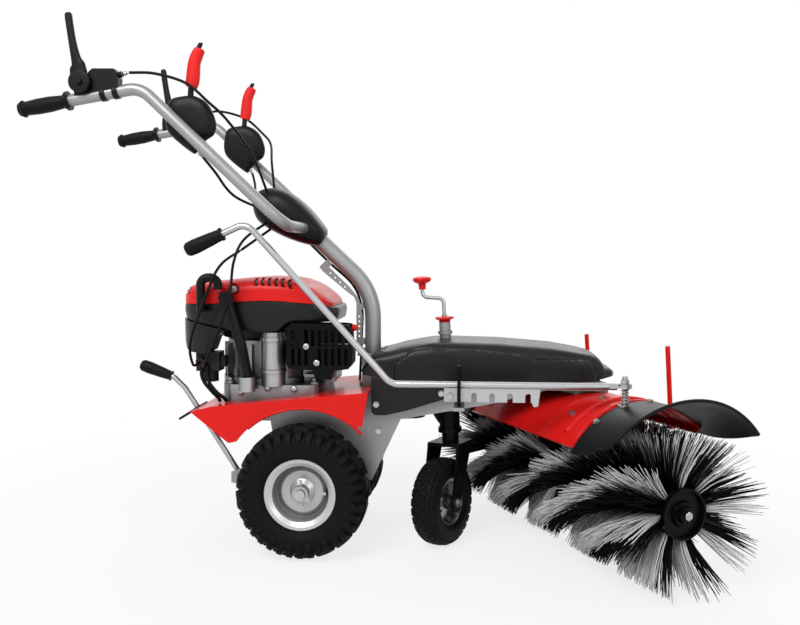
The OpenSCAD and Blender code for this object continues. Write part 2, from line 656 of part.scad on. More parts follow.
// Cast crankcase: foot that follows the deck, ribbed case, finned cylinder and oil boss
module crankcase() color("#b9bbbc") from_axle() difference() {
    union() {
        intersection() {
            side_plate(0, 250) polygon([[-225, deck_z(-225)], [40, deck_z(40)], [40, 420], [-225, 420]]);
            translate([-92.5, 0, 300]) linear_extrude(200) polygon(swell(133, 126, 5, 40));
        }
        for (x = [-202, 16], y = [-92, 92]) translate([x, y, 412]) {
            cylinder(h = 14, d = 30);
            cylinder(h = 22, d = 15, $fn = 6);
        }
        translate([engine_x, 0, 416]) cylinder(h = 18, d = 240);
        translate([engine_x, 0, 420]) cylinder(h = 109.9, d = 216);
        for (k = [0 : 15]) rotate_about(engine_x, 22.5 * k + 11.25) translate([90, -3, 422])
            cube([28, 6, 98]);
        block([-60, -60, 421], [64, 60, 529.9]);
        for (k = [0 : 5]) block([-10, -92, 437 + 16 * k], [58, 92, 444 + 16 * k]);
        translate([-144, -150, 408]) cylinder(h = 36, d = 40);
        block([-158, -146, 409], [-130, -110, 434]);
        translate([-86, -112, 418]) cylinder(h = 136, d = 60);
        translate([-86, -112, 532]) cylinder(h = 9, d = 66);
        translate([-86, -112, 452]) cylinder(h = 7, d = 66);
    }
    translate([engine_x, 0, 300]) cylinder(h = 180, d = drive_d + 2 * run_gap);
    translate([-144, -150, 420]) cylinder(h = 40, d = 27);
}

// Black blower shroud over the crankcase
module engine_shroud() color("#202123") from_axle() {
    intersection() {
        side_plate(0, 330) polygon([
            [-340, 632], [-336, 606], [-326, 588], [-196, 560.4], [-88, 557], [-66, 560], [-50, 574],
                [-36, 580.6],
            [104, 580.6], [108, 600], [99, 632]]);
        engine_plan(221, 152);
        end_plate(engine_mid, 500) translate([0, 566]) polygon(swell(153, 110, 5, 40));
    }
    intersection() {
        translate([0, 0, 530.2]) linear_extrude(60) translate([engine_mid, 0])
            polygon(swell(168, 72, 4, 40));
        side_plate(0, 300) polygon([[-280, 590], [-230, 530], [70, 530], [70, 590]]);
    }
}

// Red top cowl with slanted vents and a filler cap
module engine_cowl() color("#d6231e") from_axle() difference() {
    intersection() {
        side_plate(0, 330) polygon(curve([
            [-340, 632.4], [-335, 656], [-318, 676], [-286, 687], [-200, 692], [-110, 690], [-50, 684],
            [10, 670], [52, 651], [72, 632.4]], 3));
        engine_plan(220, 151);
        end_plate(engine_mid, 500) translate([0, 620]) polygon(swell(154, 72, 3.4, 48));
    }
    for (s = [-1, 1], k = [0 : 6]) translate([-96 + 15 * k, s * 132, 690]) rotate([0, -28, 0])
        cube([7, 56, 34], center = true);
    translate([-176, -152, 662]) rotate([90, 0, 0]) cylinder(h = 30, d = 30, center = true);
}

// Slotted muffler guard beside the cylinder
module muffler() color("#19191a") from_axle() difference() {
    union() {
        side_plate(-126, 64) polygon([
            [-42, 476], [-34, 467], [22, 463], [30, 442], [70, 440], [78, 462], [112, 467], [122, 480],
                [124, 556],
            [114, 576], [-28, 580.3], [-42, 566]]);
        for (p = [[-20, 528], [30, 483]]) cross_bar(p, -160, 10, 15);
    }
    for (k = [0 : 8], z = [476, 523]) if (!(k == 1 && z > 500) && !(k == 3 && z < 500))
        translate([-30 + 16.6 * k, -170, z]) cube([9, 30, 41]);
    block([-52, -150, 523], [130, -90, 590]);
}

// Air filter box with a ribbed lid
module air_filter() color("#1b1b1c") from_axle() intersection() {
    union() {
        side_plate(-114, 80) polygon([
            [-322, 586.7], [-318, 540], [-310, 514], [-300, 504], [-252, 500.8], [-240, 506], [-226, 544],
            [-200, 556], [-200, 560.8]]);
        side_plate(-117, 86) polygon(loop([
            [-314, 536], [-306, 514], [-290, 505.4], [-258, 503], [-244, 510], [-234, 536],
                [-270, 545]], 4));
    }
    engine_plan(216, 158);
}

// Carburettor under the air filter, with its float bowl
module carburettor() color("#8d8f90") from_axle() {
    block([-286, -112, 452], [-226, -64, 500.6]);
    translate([-256, -88, 424]) cylinder(h = 28, d = 42);
    translate([-272, -112, 478]) rotate([90, 0, 0]) cylinder(h = 14, d = 22);
    block([-226, -100, 462], [-214, -74, 490]);
}

// Oil filler tube with its wide cap
module oil_tube() color("#151516") from_axle() {
    pipe([[-144, -150, 420.2], [-144, -150, 452], [-150, -173, 520], [-184, -176, 632]], 26, 60);
    bar([-183, -175.9, 628], [-189, -176.5, 650], 38);
    bar([-188, -176.4, 647], [-191, -176.7, 658], 30);
}

// Starter grip: a thick moulded loop beside the shroud
module starter_grip() color("#141415") from_axle() {
    pipe([[-252, -172, 608], [-252, -172, 692], [-208, -172, 692], [-208, -172, 664]], 22, 19);
    bar([-252, -172, 616], [-252, -145.3, 616], 14);
}

// Belt drive

// Engine crankshaft end with its pulley
module engine_pulley() color("#7d8082") from_axle() translate([engine_x, 0, rear_belt_z]) {
    pulley(pulley_d);
    translate([0, 0, -12]) cylinder(h = 150, d = drive_d);
}

// Jackshaft with its lower and upper pulleys
module jackshaft() color("#7f8284") from_axle() translate([jackshaft_x, 0, 0]) {
    translate([0, 0, rear_belt_z]) pulley(pulley_d);
    translate([0, 0, front_belt_z]) pulley(pulley_d);
    translate([0, 0, rear_belt_z - 10]) cylinder(h = front_belt_z - rear_belt_z + 20, d = drive_d);
    translate([0, 0, 406 + free_gap]) cylinder(h = 8, d = drive_d + 16);
}

// Brush drive shaft down through the head's pivot, with its pulley and bevel pinion
module brush_drive_shaft() color("#85888a") from_axle() translate([pivot_x, 0, 0]) {
    translate([0, 0, front_belt_z]) pulley(pulley_d);
    translate([0, 0, brush_z + 30]) cylinder(h = front_belt_z + 9 - brush_z - 30, d = drive_d);
    translate([0, 0, brush_z + 30]) cylinder(h = 14, d1 = 30, d2 = 38);
}

// One V-belt round two equal pulleys on a level plane
module belt(xa, xb) {
    r = pulley_d / 2 - 11 + free_gap;
    module loop(g) {
        for (x = [xa, xb]) translate([x, 0]) circle(g);
        translate([xa, -g]) square([xb - xa, 2 * g]);
    }
    linear_extrude(6, center = true) difference() {
        loop(r + belt_t);
        loop(r);
    }
}

// The two drive belts
module drive_belts() color("#131313") from_axle() {
    translate([0, 0, rear_belt_z]) belt(engine_x, jackshaft_x);
    translate([0, 0, front_belt_z]) belt(jackshaft_x, pivot_x);
}

// Jack and castor

stem_gap = 0.05;
housing_low = -146;
housing_top = 12;

// Black jack housing with its gusset
module jack_housing() color("#161617") jack_frame() difference() {
    union() {
        translate([0, 0, housing_low]) cylinder(h = housing_top - housing_low, d = jack_d);
        translate([0, 0, housing_low]) cylinder(h = 12, d = jack_d + 8);
        side_plate(0, 8) polygon([[-jack_d / 2 - 26, -78], [-jack_d / 2 + 4, -78],
            [-jack_d / 2 + 4, -130], [-jack_d / 2 - 8, -112]]);
    }
    translate([0, 0, housing_low - 1])
        cylinder(h = housing_top - housing_low - 7, d = stem_d + 2 * stem_gap);
    translate([0, 0, -100]) cylinder(h = 200, d = spindle_d + 2 * free_gap);
}

// Grey stepped neck through the belt cover
module jack_neck() color("#9fa2a4") jack_frame() translate([0, 0, housing_top]) difference() {
    union() {
        cylinder(h = neck_top - jack_z - housing_top, d = neck_d);
        cylinder(h = 84, d = neck_d + 0.6);
        translate([0, 0, 100]) cylinder(h = 8, d = neck_d + 8);
    }
    translate([0, 0, -1]) cylinder(h = 300, d = spindle_d + 2 * run_gap);
}

// Bent jack crank with its spindle
module jack_crank() color("#b5b7b8") jack_frame() {
    top = neck_top - jack_z;
    translate([0, 0, -130]) cylinder(h = top + 130 + 20, d = spindle_d);
    pipe([[0, 0, top + 18], [0, 0, top + crank_h], [-54, 0, top + crank_h + 6],
        [-54, 0, top + crank_h + 44]], 10, 14);
}

// Red mushroom knob of the crank
module crank_knob() color("#cf1f1d") jack_frame() translate([-54, 0, neck_top - jack_z + crank_h + 26])
    rotate_extrude() polygon([[5.2, 0], [9, 0], [10, 14], [22, 20], [25, 26], [22, 31], [10, 34],
        [0, 35], [0, 18.5], [5.2, 18.5]]);

// Red flanged disc at the crank's foot
module crank_disc() color("#cb1e1c") jack_frame() translate([0, 0, neck_top - jack_z + free_gap])
    rotate_extrude() polygon([[spindle_d / 2 + 0.1, 0], [14, 0], [16, 5], [24, 8], [24, 13], [14, 15],
        [spindle_d / 2 + 0.1, 15]]);

// Castor stem sliding in the jack housing
module castor_stem() color("#2a2b2c") jack_frame() difference() {
    translate([0, 0, housing_low - 24]) cylinder(h = 110, d = stem_d);
    translate([0, 0, housing_low - 10]) cylinder(h = 140, d = spindle_d + 2 * free_gap);
    translate([0, 0, housing_low - 24 - eps]) cylinder(h = 18, d = 20 + 2 * run_gap);
}

fork_top = castor_drop + housing_low - 24 - free_gap;
fork_in = castor_w / 2 + fork_gap;

// Bent-plate castor fork with its swivel pin
module castor_fork() color("#19191a") castor_frame() difference() {
    union() {
        translate([0, 0, fork_top - 8]) cylinder(h = 8, d = 78);
        translate([0, 0, fork_top - eps]) cylinder(h = 14, d = 20);
        side_plate(0, 2 * fork_in + 12) polygon([[-44, fork_top - 8], [32, fork_top - 8],
            [36, fork_top], [-40, fork_top]]);
        for (s = [-1, 1]) side_plate(s * (fork_in + 3), 6) {
            polygon([[-40, fork_top], [32, fork_top], [14, fork_top - 40], [-trail + 22, 6],
                [-trail - 22, 6], [-54, fork_top - 50]]);
            translate([-trail, 0]) circle(24);
        }
    }
    cross_bar([-trail, 0], 0, 200, castor_axle_d + 0.2);
}

// Castor axle bolt with its heads
module castor_axle() color("#babcbd") castor_frame() {
    cross_bar([-trail, 0], 0, 2 * fork_in + 14, castor_axle_d);
    for (s = [-1, 1]) translate([-trail, s * (fork_in + 6), 0]) rotate([-s * 90, 0, 0])
        bolt_head(castor_axle_d * 0.7);
}

// Castor rim with ribs and bearing bore
module castor_rim() color("#8f9193") castor_frame() translate([-trail, 0, 0]) rotate([90, 0, 0])
    difference() {
    rotate_extrude() polygon([
        [castor_axle_d / 2 + run_gap, -32], [18, -32], [20, -12], [44, -8],
            [castor_rim_d / 2 - 8, -24], [castor_rim_d / 2, -27],
        [castor_rim_d / 2, -22], [castor_rim_d / 2 - 5, -18], [castor_rim_d / 2 - 5, 18],
            [castor_rim_d / 2, 22],
        [castor_rim_d / 2, 27], [castor_rim_d / 2 - 8, 24], [44, 8], [20, 12], [18, 32],
            [castor_axle_d / 2 + run_gap, 32]]);
    for (k = [0 : 4]) rotate([0, 0, 72 * k]) translate([32, 0, -50]) cylinder(h = 100, d = 9);
}

// Castor tyre: round section with grooves
module castor_tyre() color("#141414") castor_frame() translate([-trail, 0, 0]) rotate([90, 0, 0])
    difference() {
    rotate_extrude() difference() {
        union() {
            translate([castor_d / 2 - tyre_crown, 0]) circle(tyre_crown);
            translate([castor_d / 2 - 38, 0]) circle(castor_w / 2);
        }
        translate([-1, -60]) square([castor_rim_d / 2 - 4 + 1, 120]);
        translate([0, -22]) square([castor_rim_d / 2 + 0.2, 44]);
        for (s = [-1, 1]) translate([0, s * 26 - 6]) square([castor_rim_d / 2 + 0.6, 12]);
    }
    for (k = [0 : 23], s = [-1, 1]) rotate([0, 0, 15 * k + 3.75 * s])
        translate([castor_d / 2 - 7, -2, s * 14 - 12])
        cube([20, 4, 24]);
}

// Drive wheels

// Solid drive axle
module drive_axle() color("#a0a3a5") from_axle() cross_bar([0, wheel_z], 0, 2 * wheel_y + 100, axle_d);

// Two dished rims with long hub sleeves, locking pins and valves
module wheel_rims() color("#c4c6c8") from_axle() for (s = [-1, 1]) translate([0, s * wheel_y, wheel_z])
    rotate([-s * 90, 0, 0]) {
    rotate_extrude() polygon([
            [axle_d / 2 + 0.1, -40], [24, -40], [24, -4], [34, 4], [52, 8], [62, 2],
                [rim_d / 2 - 18, 10], [rim_d / 2 - 14, 38], [rim_d / 2, 44],
            [rim_d / 2, 48], [rim_d / 2 - 8, 47], [rim_d / 2 - 18, 40], [rim_d / 2 - 22, 14], [62, 6],
                [52, 12],
            [32, 10], [19, 18], [19, 42], [axle_d / 2 + 0.1, 42]]);
    rotate_extrude() polygon([
        [rim_d / 2 - 22, 13], [rim_d / 2 - 18, 13], [rim_d / 2 - 18, -36], [rim_d / 2 - 10, -44],
            [rim_d / 2, -46], [rim_d / 2, -50],
        [rim_d / 2 - 12, -48], [rim_d / 2 - 22, -38]]);
    for (a = [0, 180]) rotate([0, 0, a]) translate([0, 32, 30]) rotate([90, 0, 0])
        cylinder(h = 16, d = 8);
    translate([58, 0, 4]) cylinder(h = 26, d = 8);
}

// Tyre carcass with alternating slanted lugs
module wheel_tyre() {
    carcass = tyre_d / 2 - lug_h;
    rotate_extrude() polygon([
        [rim_d / 2 - 13.5, -34], [rim_d / 2 + 0.3, -44], [rim_d / 2 + 2, -54],
            [rim_d / 2 + 16, -tyre_w / 2 + 2],
        [rim_d / 2 + 34, -tyre_w / 2], [carcass - 20, -tyre_w / 2 + 6],
            [carcass - 6, -tyre_w / 2 + 16], [carcass, -20],
        [carcass, 20], [carcass - 6, tyre_w / 2 - 16], [carcass - 20, tyre_w / 2 - 6],
            [rim_d / 2 + 34, tyre_w / 2],
        [rim_d / 2 + 16, tyre_w / 2 - 2], [rim_d / 2 + 2, 54], [rim_d / 2 + 0.3, 44],
            [rim_d / 2 - 13.5, 36]]);
    intersection() {
        for (s = [-1, 1], k = [0 : lug_count - 1]) rotate([0, 0, 360 / lug_count * (k + s / 4)])
            translate([carcass - 14, 0, s * 30]) rotate([s * 32, 0, 0]) rotate([0, s * 14, 0])
                translate([0, -9, -31]) cube([lug_h + 24, 18, 62]);
        rotate_extrude() polygon([
            [carcass - 30, -tyre_w / 2 - 1], [carcass - 8, -tyre_w / 2 - 1],
                [carcass + 2, -tyre_w / 2 + 12],
            [tyre_d / 2 - 2, -24], [tyre_d / 2, -10], [tyre_d / 2, 10], [tyre_d / 2 - 2, 24],
            [carcass + 2, tyre_w / 2 - 12], [carcass - 8, tyre_w / 2 + 1],
                [carcass - 30, tyre_w / 2 + 1]]);
    }
}
module wheel_tyres() color("#121212") from_axle() for (s = [-1, 1])
    translate([0, s * wheel_y, wheel_z]) rotate([-s * 90, 0, 0]) wheel_tyre();

// Brush head

// Turntable: saddle plate, hollow pivot and its keeper ring
module turntable() color("#a7a9ab") head_frame() difference() {
    union() {
        translate([0, 0, turn_top - 8]) cylinder(h = 8, d = 150);
        translate([-50, -62, brush_z + hood_r - 8])
            cube([100, 124, turn_top - 8 - brush_z - hood_r + 8.2]);
        translate([0, 0, turn_top - eps]) cylinder(h = nose_top + 8 - turn_top, d = pivot_d);
        translate([0, 0, nose_top + 4 + free_gap]) cylinder(h = 4, d = pivot_d + 14);
    }
    translate([0, 0, 300]) cylinder(h = 300, d = drive_d + 2 * run_gap);
    translate([0, 0, brush_z]) rotate([90, 0, 0]) cylinder(h = 300, r = hood_r + 0.05, center = true);
}

module hood_wedge() polygon([[0, 0], [hood_r * 1.1, hood_r * 1.02], [0, hood_r * 2],
    [-hood_r * 1.6, hood_r * 1.16]]);

// Red sheet hood with pressed beads and hemmed edges
module brush_hood() color("#d4211d") head_frame() translate([0, 0, brush_z]) difference() {
    union() {
        rotate([90, 0, 0]) linear_extrude(2 * hood_half, center = true) intersection() {
            difference() {
                circle(hood_r);
                circle(hood_r - hood_t);
            }
            hood_wedge();
        }
        for (y = [-190, 190]) translate([0, y, 0]) rotate([90, 0, 0]) rotate([0, 0, 52])
            rotate_extrude(angle = 84) translate([hood_r - 1, 0]) circle(8);
        for (a = [43.5, 143.5]) rotate([0, -a, 0]) translate([hood_r - hood_t - 5, 0, 0])
            rotate([90, 0, 0])
            linear_extrude(2 * hood_half, center = true) square([14, 3], center = true);
        for (s = [-1, 1]) translate([marker_x, s * marker_y, marker_x]) rotate([0, -marker_lean, 0])
            translate([0, 0, -26]) cylinder(h = 44, d = marker_d + 8);
    }
    for (s = [-1, 1]) translate([marker_x, s * marker_y, marker_x]) rotate([0, -marker_lean, 0])
        translate([0, 0, -20]) cylinder(h = 100, d = marker_d + 0.1);
    cylinder(h = 400, d = pivot_d + 16);
    rotate([90, 0, 0]) linear_extrude(2 * hood_half + 2, center = true) circle(hood_r - hood_t - 14);
}

// Rubber flap lofted from the hood's end out over the brush's end
function flap_edge(a) = hood_half + 30 + (flap_reach - hood_half - 30)
    * pow(sin(min(90, max(0, (150 - a) * 1.25))), 1.2);
function flap_point(a, v, r) = let (g = pow(max(0, v - 0.2) / 0.8, 2),
    p = hood_half - 22 + v * (flap_edge(a) - hood_half + 22))
    [15 * g + (r + 8 * g) * cos(a), -p, 20 * g + (r + 8 * g) * sin(a)];
module flap() {
    na = 22;
    nv = 5;
    rows = na + 1;
    pts = [for (w = [0, 1]) for (j = [0 : nv]) for (i = [0 : na])
        flap_point(148 - 110 * i / na, j / nv, hood_r + 0.3 + w * flap_t)];
    o = rows * (nv + 1);
    function quad(a, b, c, d) = [[a, b, c], [a, c, d]];
    skins = [for (j = [0 : nv - 1]) for (i = [0 : na - 1]) let (a = j * rows + i)
        each concat(quad(a, a + 1, a + rows + 1, a + rows),
            quad(o + a, o + a + rows, o + a + rows + 1, o + a + 1))];
    ends = [for (j = [0 : nv - 1]) let (a = j * rows, b = a + na)
        each concat(quad(a, a + rows, o + a + rows, o + a), quad(b, o + b, o + b + rows, b + rows))];
    rims = [for (i = [0 : na - 1]) let (a = i, b = nv * rows + i)
        each concat(quad(a, o + a, o + a + 1, a + 1), quad(b, b + 1, o + b + 1, o + b))];
    polyhedron(pts, concat(skins, ends, rims));
}
module end_flaps() color("#232425") head_frame() difference() {
    translate([0, 0, brush_z]) {
        flap();
        mirror([0, 1, 0]) flap();
    }
    translate([bolt_local.x, bolt_local.y, brush_z + 100]) cylinder(h = 200, d = seat_d + 1);
}

// Bevel gear case between the brush halves, with its neck up to the turntable
module brush_gear_case() color("#6d7072") head_frame() difference() {
    union() {
        translate([0, 0, brush_z]) rotate([90, 0, 0]) cylinder(h = 64, d = 120, center = true);
        translate([0, 0, brush_z]) cylinder(h = hood_r - 2.7, d = 62);
        translate([0, 0, brush_z + 50]) cylinder(h = 12, d = 84);
    }
    translate([0, 0, brush_z]) rotate([90, 0, 0])
        cylinder(h = 200, d = shaft_d + 2 * run_gap, center = true);
    translate([0, 0, brush_z]) rotate([90, 0, 0]) cylinder(h = 44, d = 104, center = true);
    translate([0, 0, brush_z]) cylinder(h = 300, d = drive_d + 2 * run_gap);
}

// Two red marker rods in sockets on the hood's front edge
module marker_rods() color("#cc1d1b") head_frame() for (s = [-1, 1])
    translate([marker_x, s * marker_y, brush_z + marker_x]) rotate([0, -marker_lean, 0])
        translate([0, 0, -20])
        cylinder(h = marker_h + 20, d = marker_d);

// Bolts that hold the flaps and the saddle
module hood_bolts() color("#c6c7c8") head_frame() translate([0, 0, brush_z]) {
    for (s = [-1, 1], a = [62, 84, 124]) rotate([0, -a, 0])
        translate([hood_r + flap_t + 0.6, s * (hood_half - 14), 0])
        rotate([0, 90, 0]) bolt_head(7);
    for (s = [-1, 1], a = [74, 98, 122]) rotate([0, -a, 0]) translate([hood_r, s * 150, 0])
        rotate([0, 90, 0]) bolt_head(7);
}

// Head coordinates of the rod's bolt
bolt_local = let (dx = rod_bolt_x - pivot_x, dy = -rod_y)
    [dx * cos(head_yaw) + dy * sin(head_yaw), dy * cos(head_yaw) - dx * sin(head_yaw)];
bolt_base = brush_z + sqrt(hood_r * hood_r - bolt_local.x * bolt_local.x) - 1;

// Bolt that carries the steering rod's front eye, with its seat and nut
module rod_bolt() color("#bfc1c2") head_frame() translate([bolt_local.x, bolt_local.y, 0]) difference() {
    union() {
        translate([0, 0, bolt_base - 6]) cylinder(h = 12, d = seat_d);
        translate([0, 0, bolt_base]) cylinder(h = rod_z + 24 - bolt_base, d = bolt_d);
        translate([0, 0, rod_z + 3 + free_gap]) cylinder(h = 3, d = 30);
        translate([0, 0, rod_z + 6 + free_gap]) cylinder(h = 10, d = 20, $fn = 6);
    }
    translate([-bolt_local.x, 0, brush_z]) rotate([90, 0, 0])
        cylinder(h = 100, r = hood_r + 0.05, center = true);
}

// Coil spring under the rod's eye
spring_turns = 5;
spring_wire = 3;
spring_low = bolt_base + 6 + spring_wire / 2 + 0.2;
spring_high = rod_z - 3 - free_gap - spring_wire / 2;
spring_r = bolt_d / 2 + spring_wire / 2 + 1.2;
spring_line = [for (i = [0 : 8 * spring_turns]) let (t = i / (8 * spring_turns))
    [spring_r * cos(45 * i), spring_r * sin(45 * i), spring_low + t * (spring_high - spring_low)]];
echo(spring_gap = (spring_high - spring_low) / spring_turns - spring_wire);
module rod_spring() color("#a9abac") head_frame() translate([bolt_local.x, bolt_local.y, 0])
    swept(spring_line, spring_wire, 6);

// Brush

// Brush shaft with a core tube on each side of the gear case
module brush_core() color("#303133") head_frame() translate([0, 0, brush_z]) rotate([90, 0, 0]) {
    cylinder(h = 2 * brush_half + 40, d = shaft_d, center = true);
    for (s = [-1, 1]) translate([0, 0, s * (36 + brush_half - 8) / 2])
        cylinder(h = brush_half - 8 - 36, d = core_d, center = true);
}

// Dished end discs with their nuts
module end_discs() color("#151516") head_frame() for (s = [-1, 1])
    translate([0, s * brush_half, brush_z]) rotate([-s * 90, 0, 0]) {
    rotate_extrude() polygon([
        [shaft_d / 2 + 0.05, -7.9], [core_d / 2, -7.9], [disc_d / 2, -6], [disc_d / 2, 10],
            [disc_d / 2 - 4, 10],
        [disc_d / 2 - 6, -2], [30, -2], [26, 6], [shaft_d / 2 + 0.05, 6]]);
    difference() {
        translate([0, 0, 6.1]) cylinder(h = 12, d = 40, $fn = 6);
        cylinder(h = 40, d = shaft_d + 0.1);
    }
}

// Angle of a strand: strips run round the brush as they go along it
function strand_angle(k, z, tone) = 360 / strips * k - strip_twist * z + (tone == 0 ? face_turn : 0);

// One row of strands: tapered blades on a ring of backing, leaning by a smooth rule
module bristle_row(z, tone) {
    r0 = core_d / 2 + 5;
    function lean(k) = 3 * sin(97 * k + 61 * z);
    translate([0, 0, z]) linear_extrude(row_t, center = true) difference() {
        polygon([for (k = [0 : strips - 1]) let (a = strand_angle(k, z, tone), b = a + lean(k)) each [
            r0 * [cos(a - 7), sin(a - 7)], brush_r * [cos(b - 1), sin(b - 1)],
            brush_r * [cos(b + 1), sin(b + 1)], r0 * [cos(a + 7), sin(a + 7)]]]);
        circle(core_d / 2 + 0.1);
    }
}
row_first = 48;
row_pitch = (brush_half - 30 - row_first) / (rows_half - 0.5);

// Last row of a brush half: straight strands that flare outwards, on a ring of backing
module end_row(flare, z, tone) {
    difference() {
        cylinder(h = row_t, d = core_d + 10, center = true);
        cylinder(h = 2 * row_t, d = core_d + 0.2, center = true);
    }
    for (k = [0 : strips - 1]) rotate([0, 0, strand_angle(k, z, tone)]) translate([core_d / 2 + 2, 0, 0])
        rotate([0, 90 - flare, 0]) translate([-1.5, -2.4, 0])
            cube([3, 4.8, (brush_r - core_d / 2 - 3) / cos(flare)]);
}

// Rows of one tone: the two tones take turns along the brush
module bristle_rows(tone) {
    head_frame() translate([0, 0, brush_z]) rotate([90, 0, 0]) for (s = [-1, 1], i = [0 : rows_half - 1])
        bristle_row(s * (row_first + (i + tone / 2) * row_pitch), tone);
    for (s = [-1, 1]) head_frame() translate([0, 0, brush_z]) rotate([s * 90, 0, 0])
        translate([0, 0, brush_half - (tone == 0 ? 12 : 21)])
            end_row(tone == 0 ? 20 : 9, brush_half - 12, tone);
}
module bristles_black() color("#0c0c0c") bristle_rows(0);
module bristles_white() color("#c9c9c9") bristle_rows(1);

// Steering rod

rod_knee = [-115, 823];
rod_low_bend = [226, 446];
rod_tail = [-256, 760];

// Bent rod with its flat front eye and the notched comb
module steering_rod() color("#b7b9ba") from_axle() difference() {
    union() {
        pipe([[rod_tail.x, -rod_y, rod_tail.y], [rod_knee.x, -rod_y, rod_knee.y],
            [rod_low_bend.x, -rod_y, rod_z],
              [rod_bolt_x - 18, -rod_y, rod_z]], rod_d, 34);
        translate([rod_bolt_x, -rod_y, rod_z - 3]) cylinder(h = 6, d = 32);
        block([rod_bolt_x - 36, -rod_y - 11, rod_z - 3], [rod_bolt_x, -rod_y + 11, rod_z + 3]);
        side_plate(-rod_y, comb_t) difference() {
            polygon([[comb_rear_x, rod_z], [comb_rear_x, comb_low + 3], [comb_rear_x + 3, comb_low],
                [first_notch_x + notch_count * notch_pitch - 33, comb_low],
                [first_notch_x + notch_count * notch_pitch - 28, comb_low - 10],
                [first_notch_x + notch_count * notch_pitch - 18, comb_low - 8],
                [first_notch_x + notch_count * notch_pitch - 12, rod_z]]);
            for (k = [0 : notch_count - 1]) translate([first_notch_x + k * notch_pitch, comb_low]) {
                translate([0, 15]) circle(d = notch_w);
                translate([-notch_w / 2, -20]) square([notch_w, 35]);
            }
        }
        translate([comb_rear_x + 14, -rod_y - comb_t / 2, comb_low + 13]) rotate([90, 0, 0]) bolt_head(8);
    }
    translate([rod_bolt_x, -rod_y, 0]) cylinder(h = 900, d = bolt_d + 2 * run_gap);
}

// Grip on the rod's rear end
module rod_grip() color("#171718") from_axle() translate([rod_tail.x, -rod_y, rod_tail.y])
    rotate([0, atan2(rod_knee.x - rod_tail.x, rod_knee.y - rod_tail.y), 0]) rotate_extrude() polygon([
        [0, -4], [13, -4], [17, 2], [18, 20], [16, 60], [14, 84], [16, 88], [16, 92],
            [rod_d / 2 + 0.1, 92], [rod_d / 2 + 0.1, 0], [0, 0]]);

// Levers

// Black hand lever on its pin outside the bracket
module hand_lever(s) color("#161617") from_axle() side_plate(s * (handle_y + lever_side), lever_t)
    difference() {
    union() {
        translate(lever_pin) circle(d = lever_hub_d);
        translate(lever_pin) rotate(10) polygon(concat(curve([
            [20, 8], [21, 34], [13, 50], [10, hand_lever_l - 57], [12, hand_lever_l - 14]], 3), curve([
            [10, hand_lever_l - 8], [4, hand_lever_l - 5], [-2, hand_lever_l - 8],
                [-5, hand_lever_l - 15],
            [-7, hand_lever_l - 57], [-11, 42], [-20, 8]], 3)));
    }
    translate(lever_pin) circle(d = lever_pin_d + 2 * run_gap);
}
module hand_lever_right() hand_lever(-1);
module hand_lever_left() hand_lever(1);

// Control lever: thin stalk from the quadrant's pin, with a broad red paddle
module control_lever(s) color("#cf2420") from_axle() difference() {
    translate([control_pin.x, s * control_y, control_pin.y]) rotate([0, control_lean, 0]) {
        side_plate(0, lever_t / 2) {
            circle(d = 26);
            polygon([[-7, 0], [7, 0], [7, 92], [24, control_lever_l + 2], [14, control_lever_l + 6],
                [-7, 92]]);
        }
        side_plate(0, 20) polygon(loop([
            [-13, 80], [0, 77], [13, 80], [20, 98], [20, 130], [31, control_lever_l - 18],
                [26, control_lever_l - 8],
            [6, control_lever_l - 10], [-7, control_lever_l - 26], [-12, 108]], 4));
    }
    cross_bar(control_pin, s * control_y, 60, 10 + 2 * run_gap);
}
module control_lever_right() control_lever(-1);
module control_lever_left() control_lever(1);

rear_bend = [-321, 381];
rear_grip_end = [-446, 459];

// Bent rear lever rod with its pivot eye
module rear_lever() color("#a8aaab") from_axle() difference() {
    union() {
        pipe([[rear_pin.x, -rear_y, rear_pin.y], [rear_bend.x - 12, -rear_y, rear_bend.y + 19],
            [-362, -rear_y, 428],
              [rear_grip_end.x, -rear_y, rear_grip_end.y]], rear_rod_d, 16);
        cross_bar(rear_pin, -rear_y, 16, 30);
    }
    cross_bar(rear_pin, -rear_y, 40, 12 + 2 * run_gap);
}

// Grip of the rear lever
module rear_lever_grip() color("#171718") from_axle()
    translate([rear_grip_end.x, -rear_y, rear_grip_end.y])
    rotate([0, atan2(-362 - rear_grip_end.x, 428 - rear_grip_end.y), 0]) rotate_extrude() polygon([
        [0, -4], [11, -4], [15, 2], [16, 20], [14, 56], [12, 78], [14, 82], [rear_rod_d / 2 + 0.1, 82],
        [rear_rod_d / 2 + 0.1, 0], [0, 0]]);

main_frame();
engine_deck();
gearbox();
belt_cover();
cover_panels();
column_tube();
handlebar();
console_shell();
handle_grips();
lever_brackets();
lever_quadrants();
control_cables();
rod_guide();
frame_bolts();
lever_slot_plate();
crankcase();
engine_shroud();
engine_cowl();
muffler();
air_filter();
carburettor();
oil_tube();
starter_grip();
engine_pulley();
jackshaft();
brush_drive_shaft();
drive_belts();
jack_housing();
jack_neck();
jack_crank();
crank_knob();
crank_disc();
castor_stem();
castor_fork();
castor_axle();
castor_rim();
castor_tyre();
drive_axle();
wheel_rims();
wheel_tyres();
turntable();
brush_hood();
end_flaps();
brush_gear_case();
marker_rods();
hood_bolts();
rod_bolt();
rod_spring();
brush_core();
end_discs();
bristles_black();
bristles_white();
steering_rod();
rod_grip();
hand_lever_right();
hand_lever_left();
control_lever_right();
control_lever_left();
rear_lever();
rear_lever_grip();
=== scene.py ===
"""Dresses the power brush sweeper: finishes for the frame's parts, and the pieces that only
need a shape to be seen, such as the brush's tufts and the moulded engine covers."""

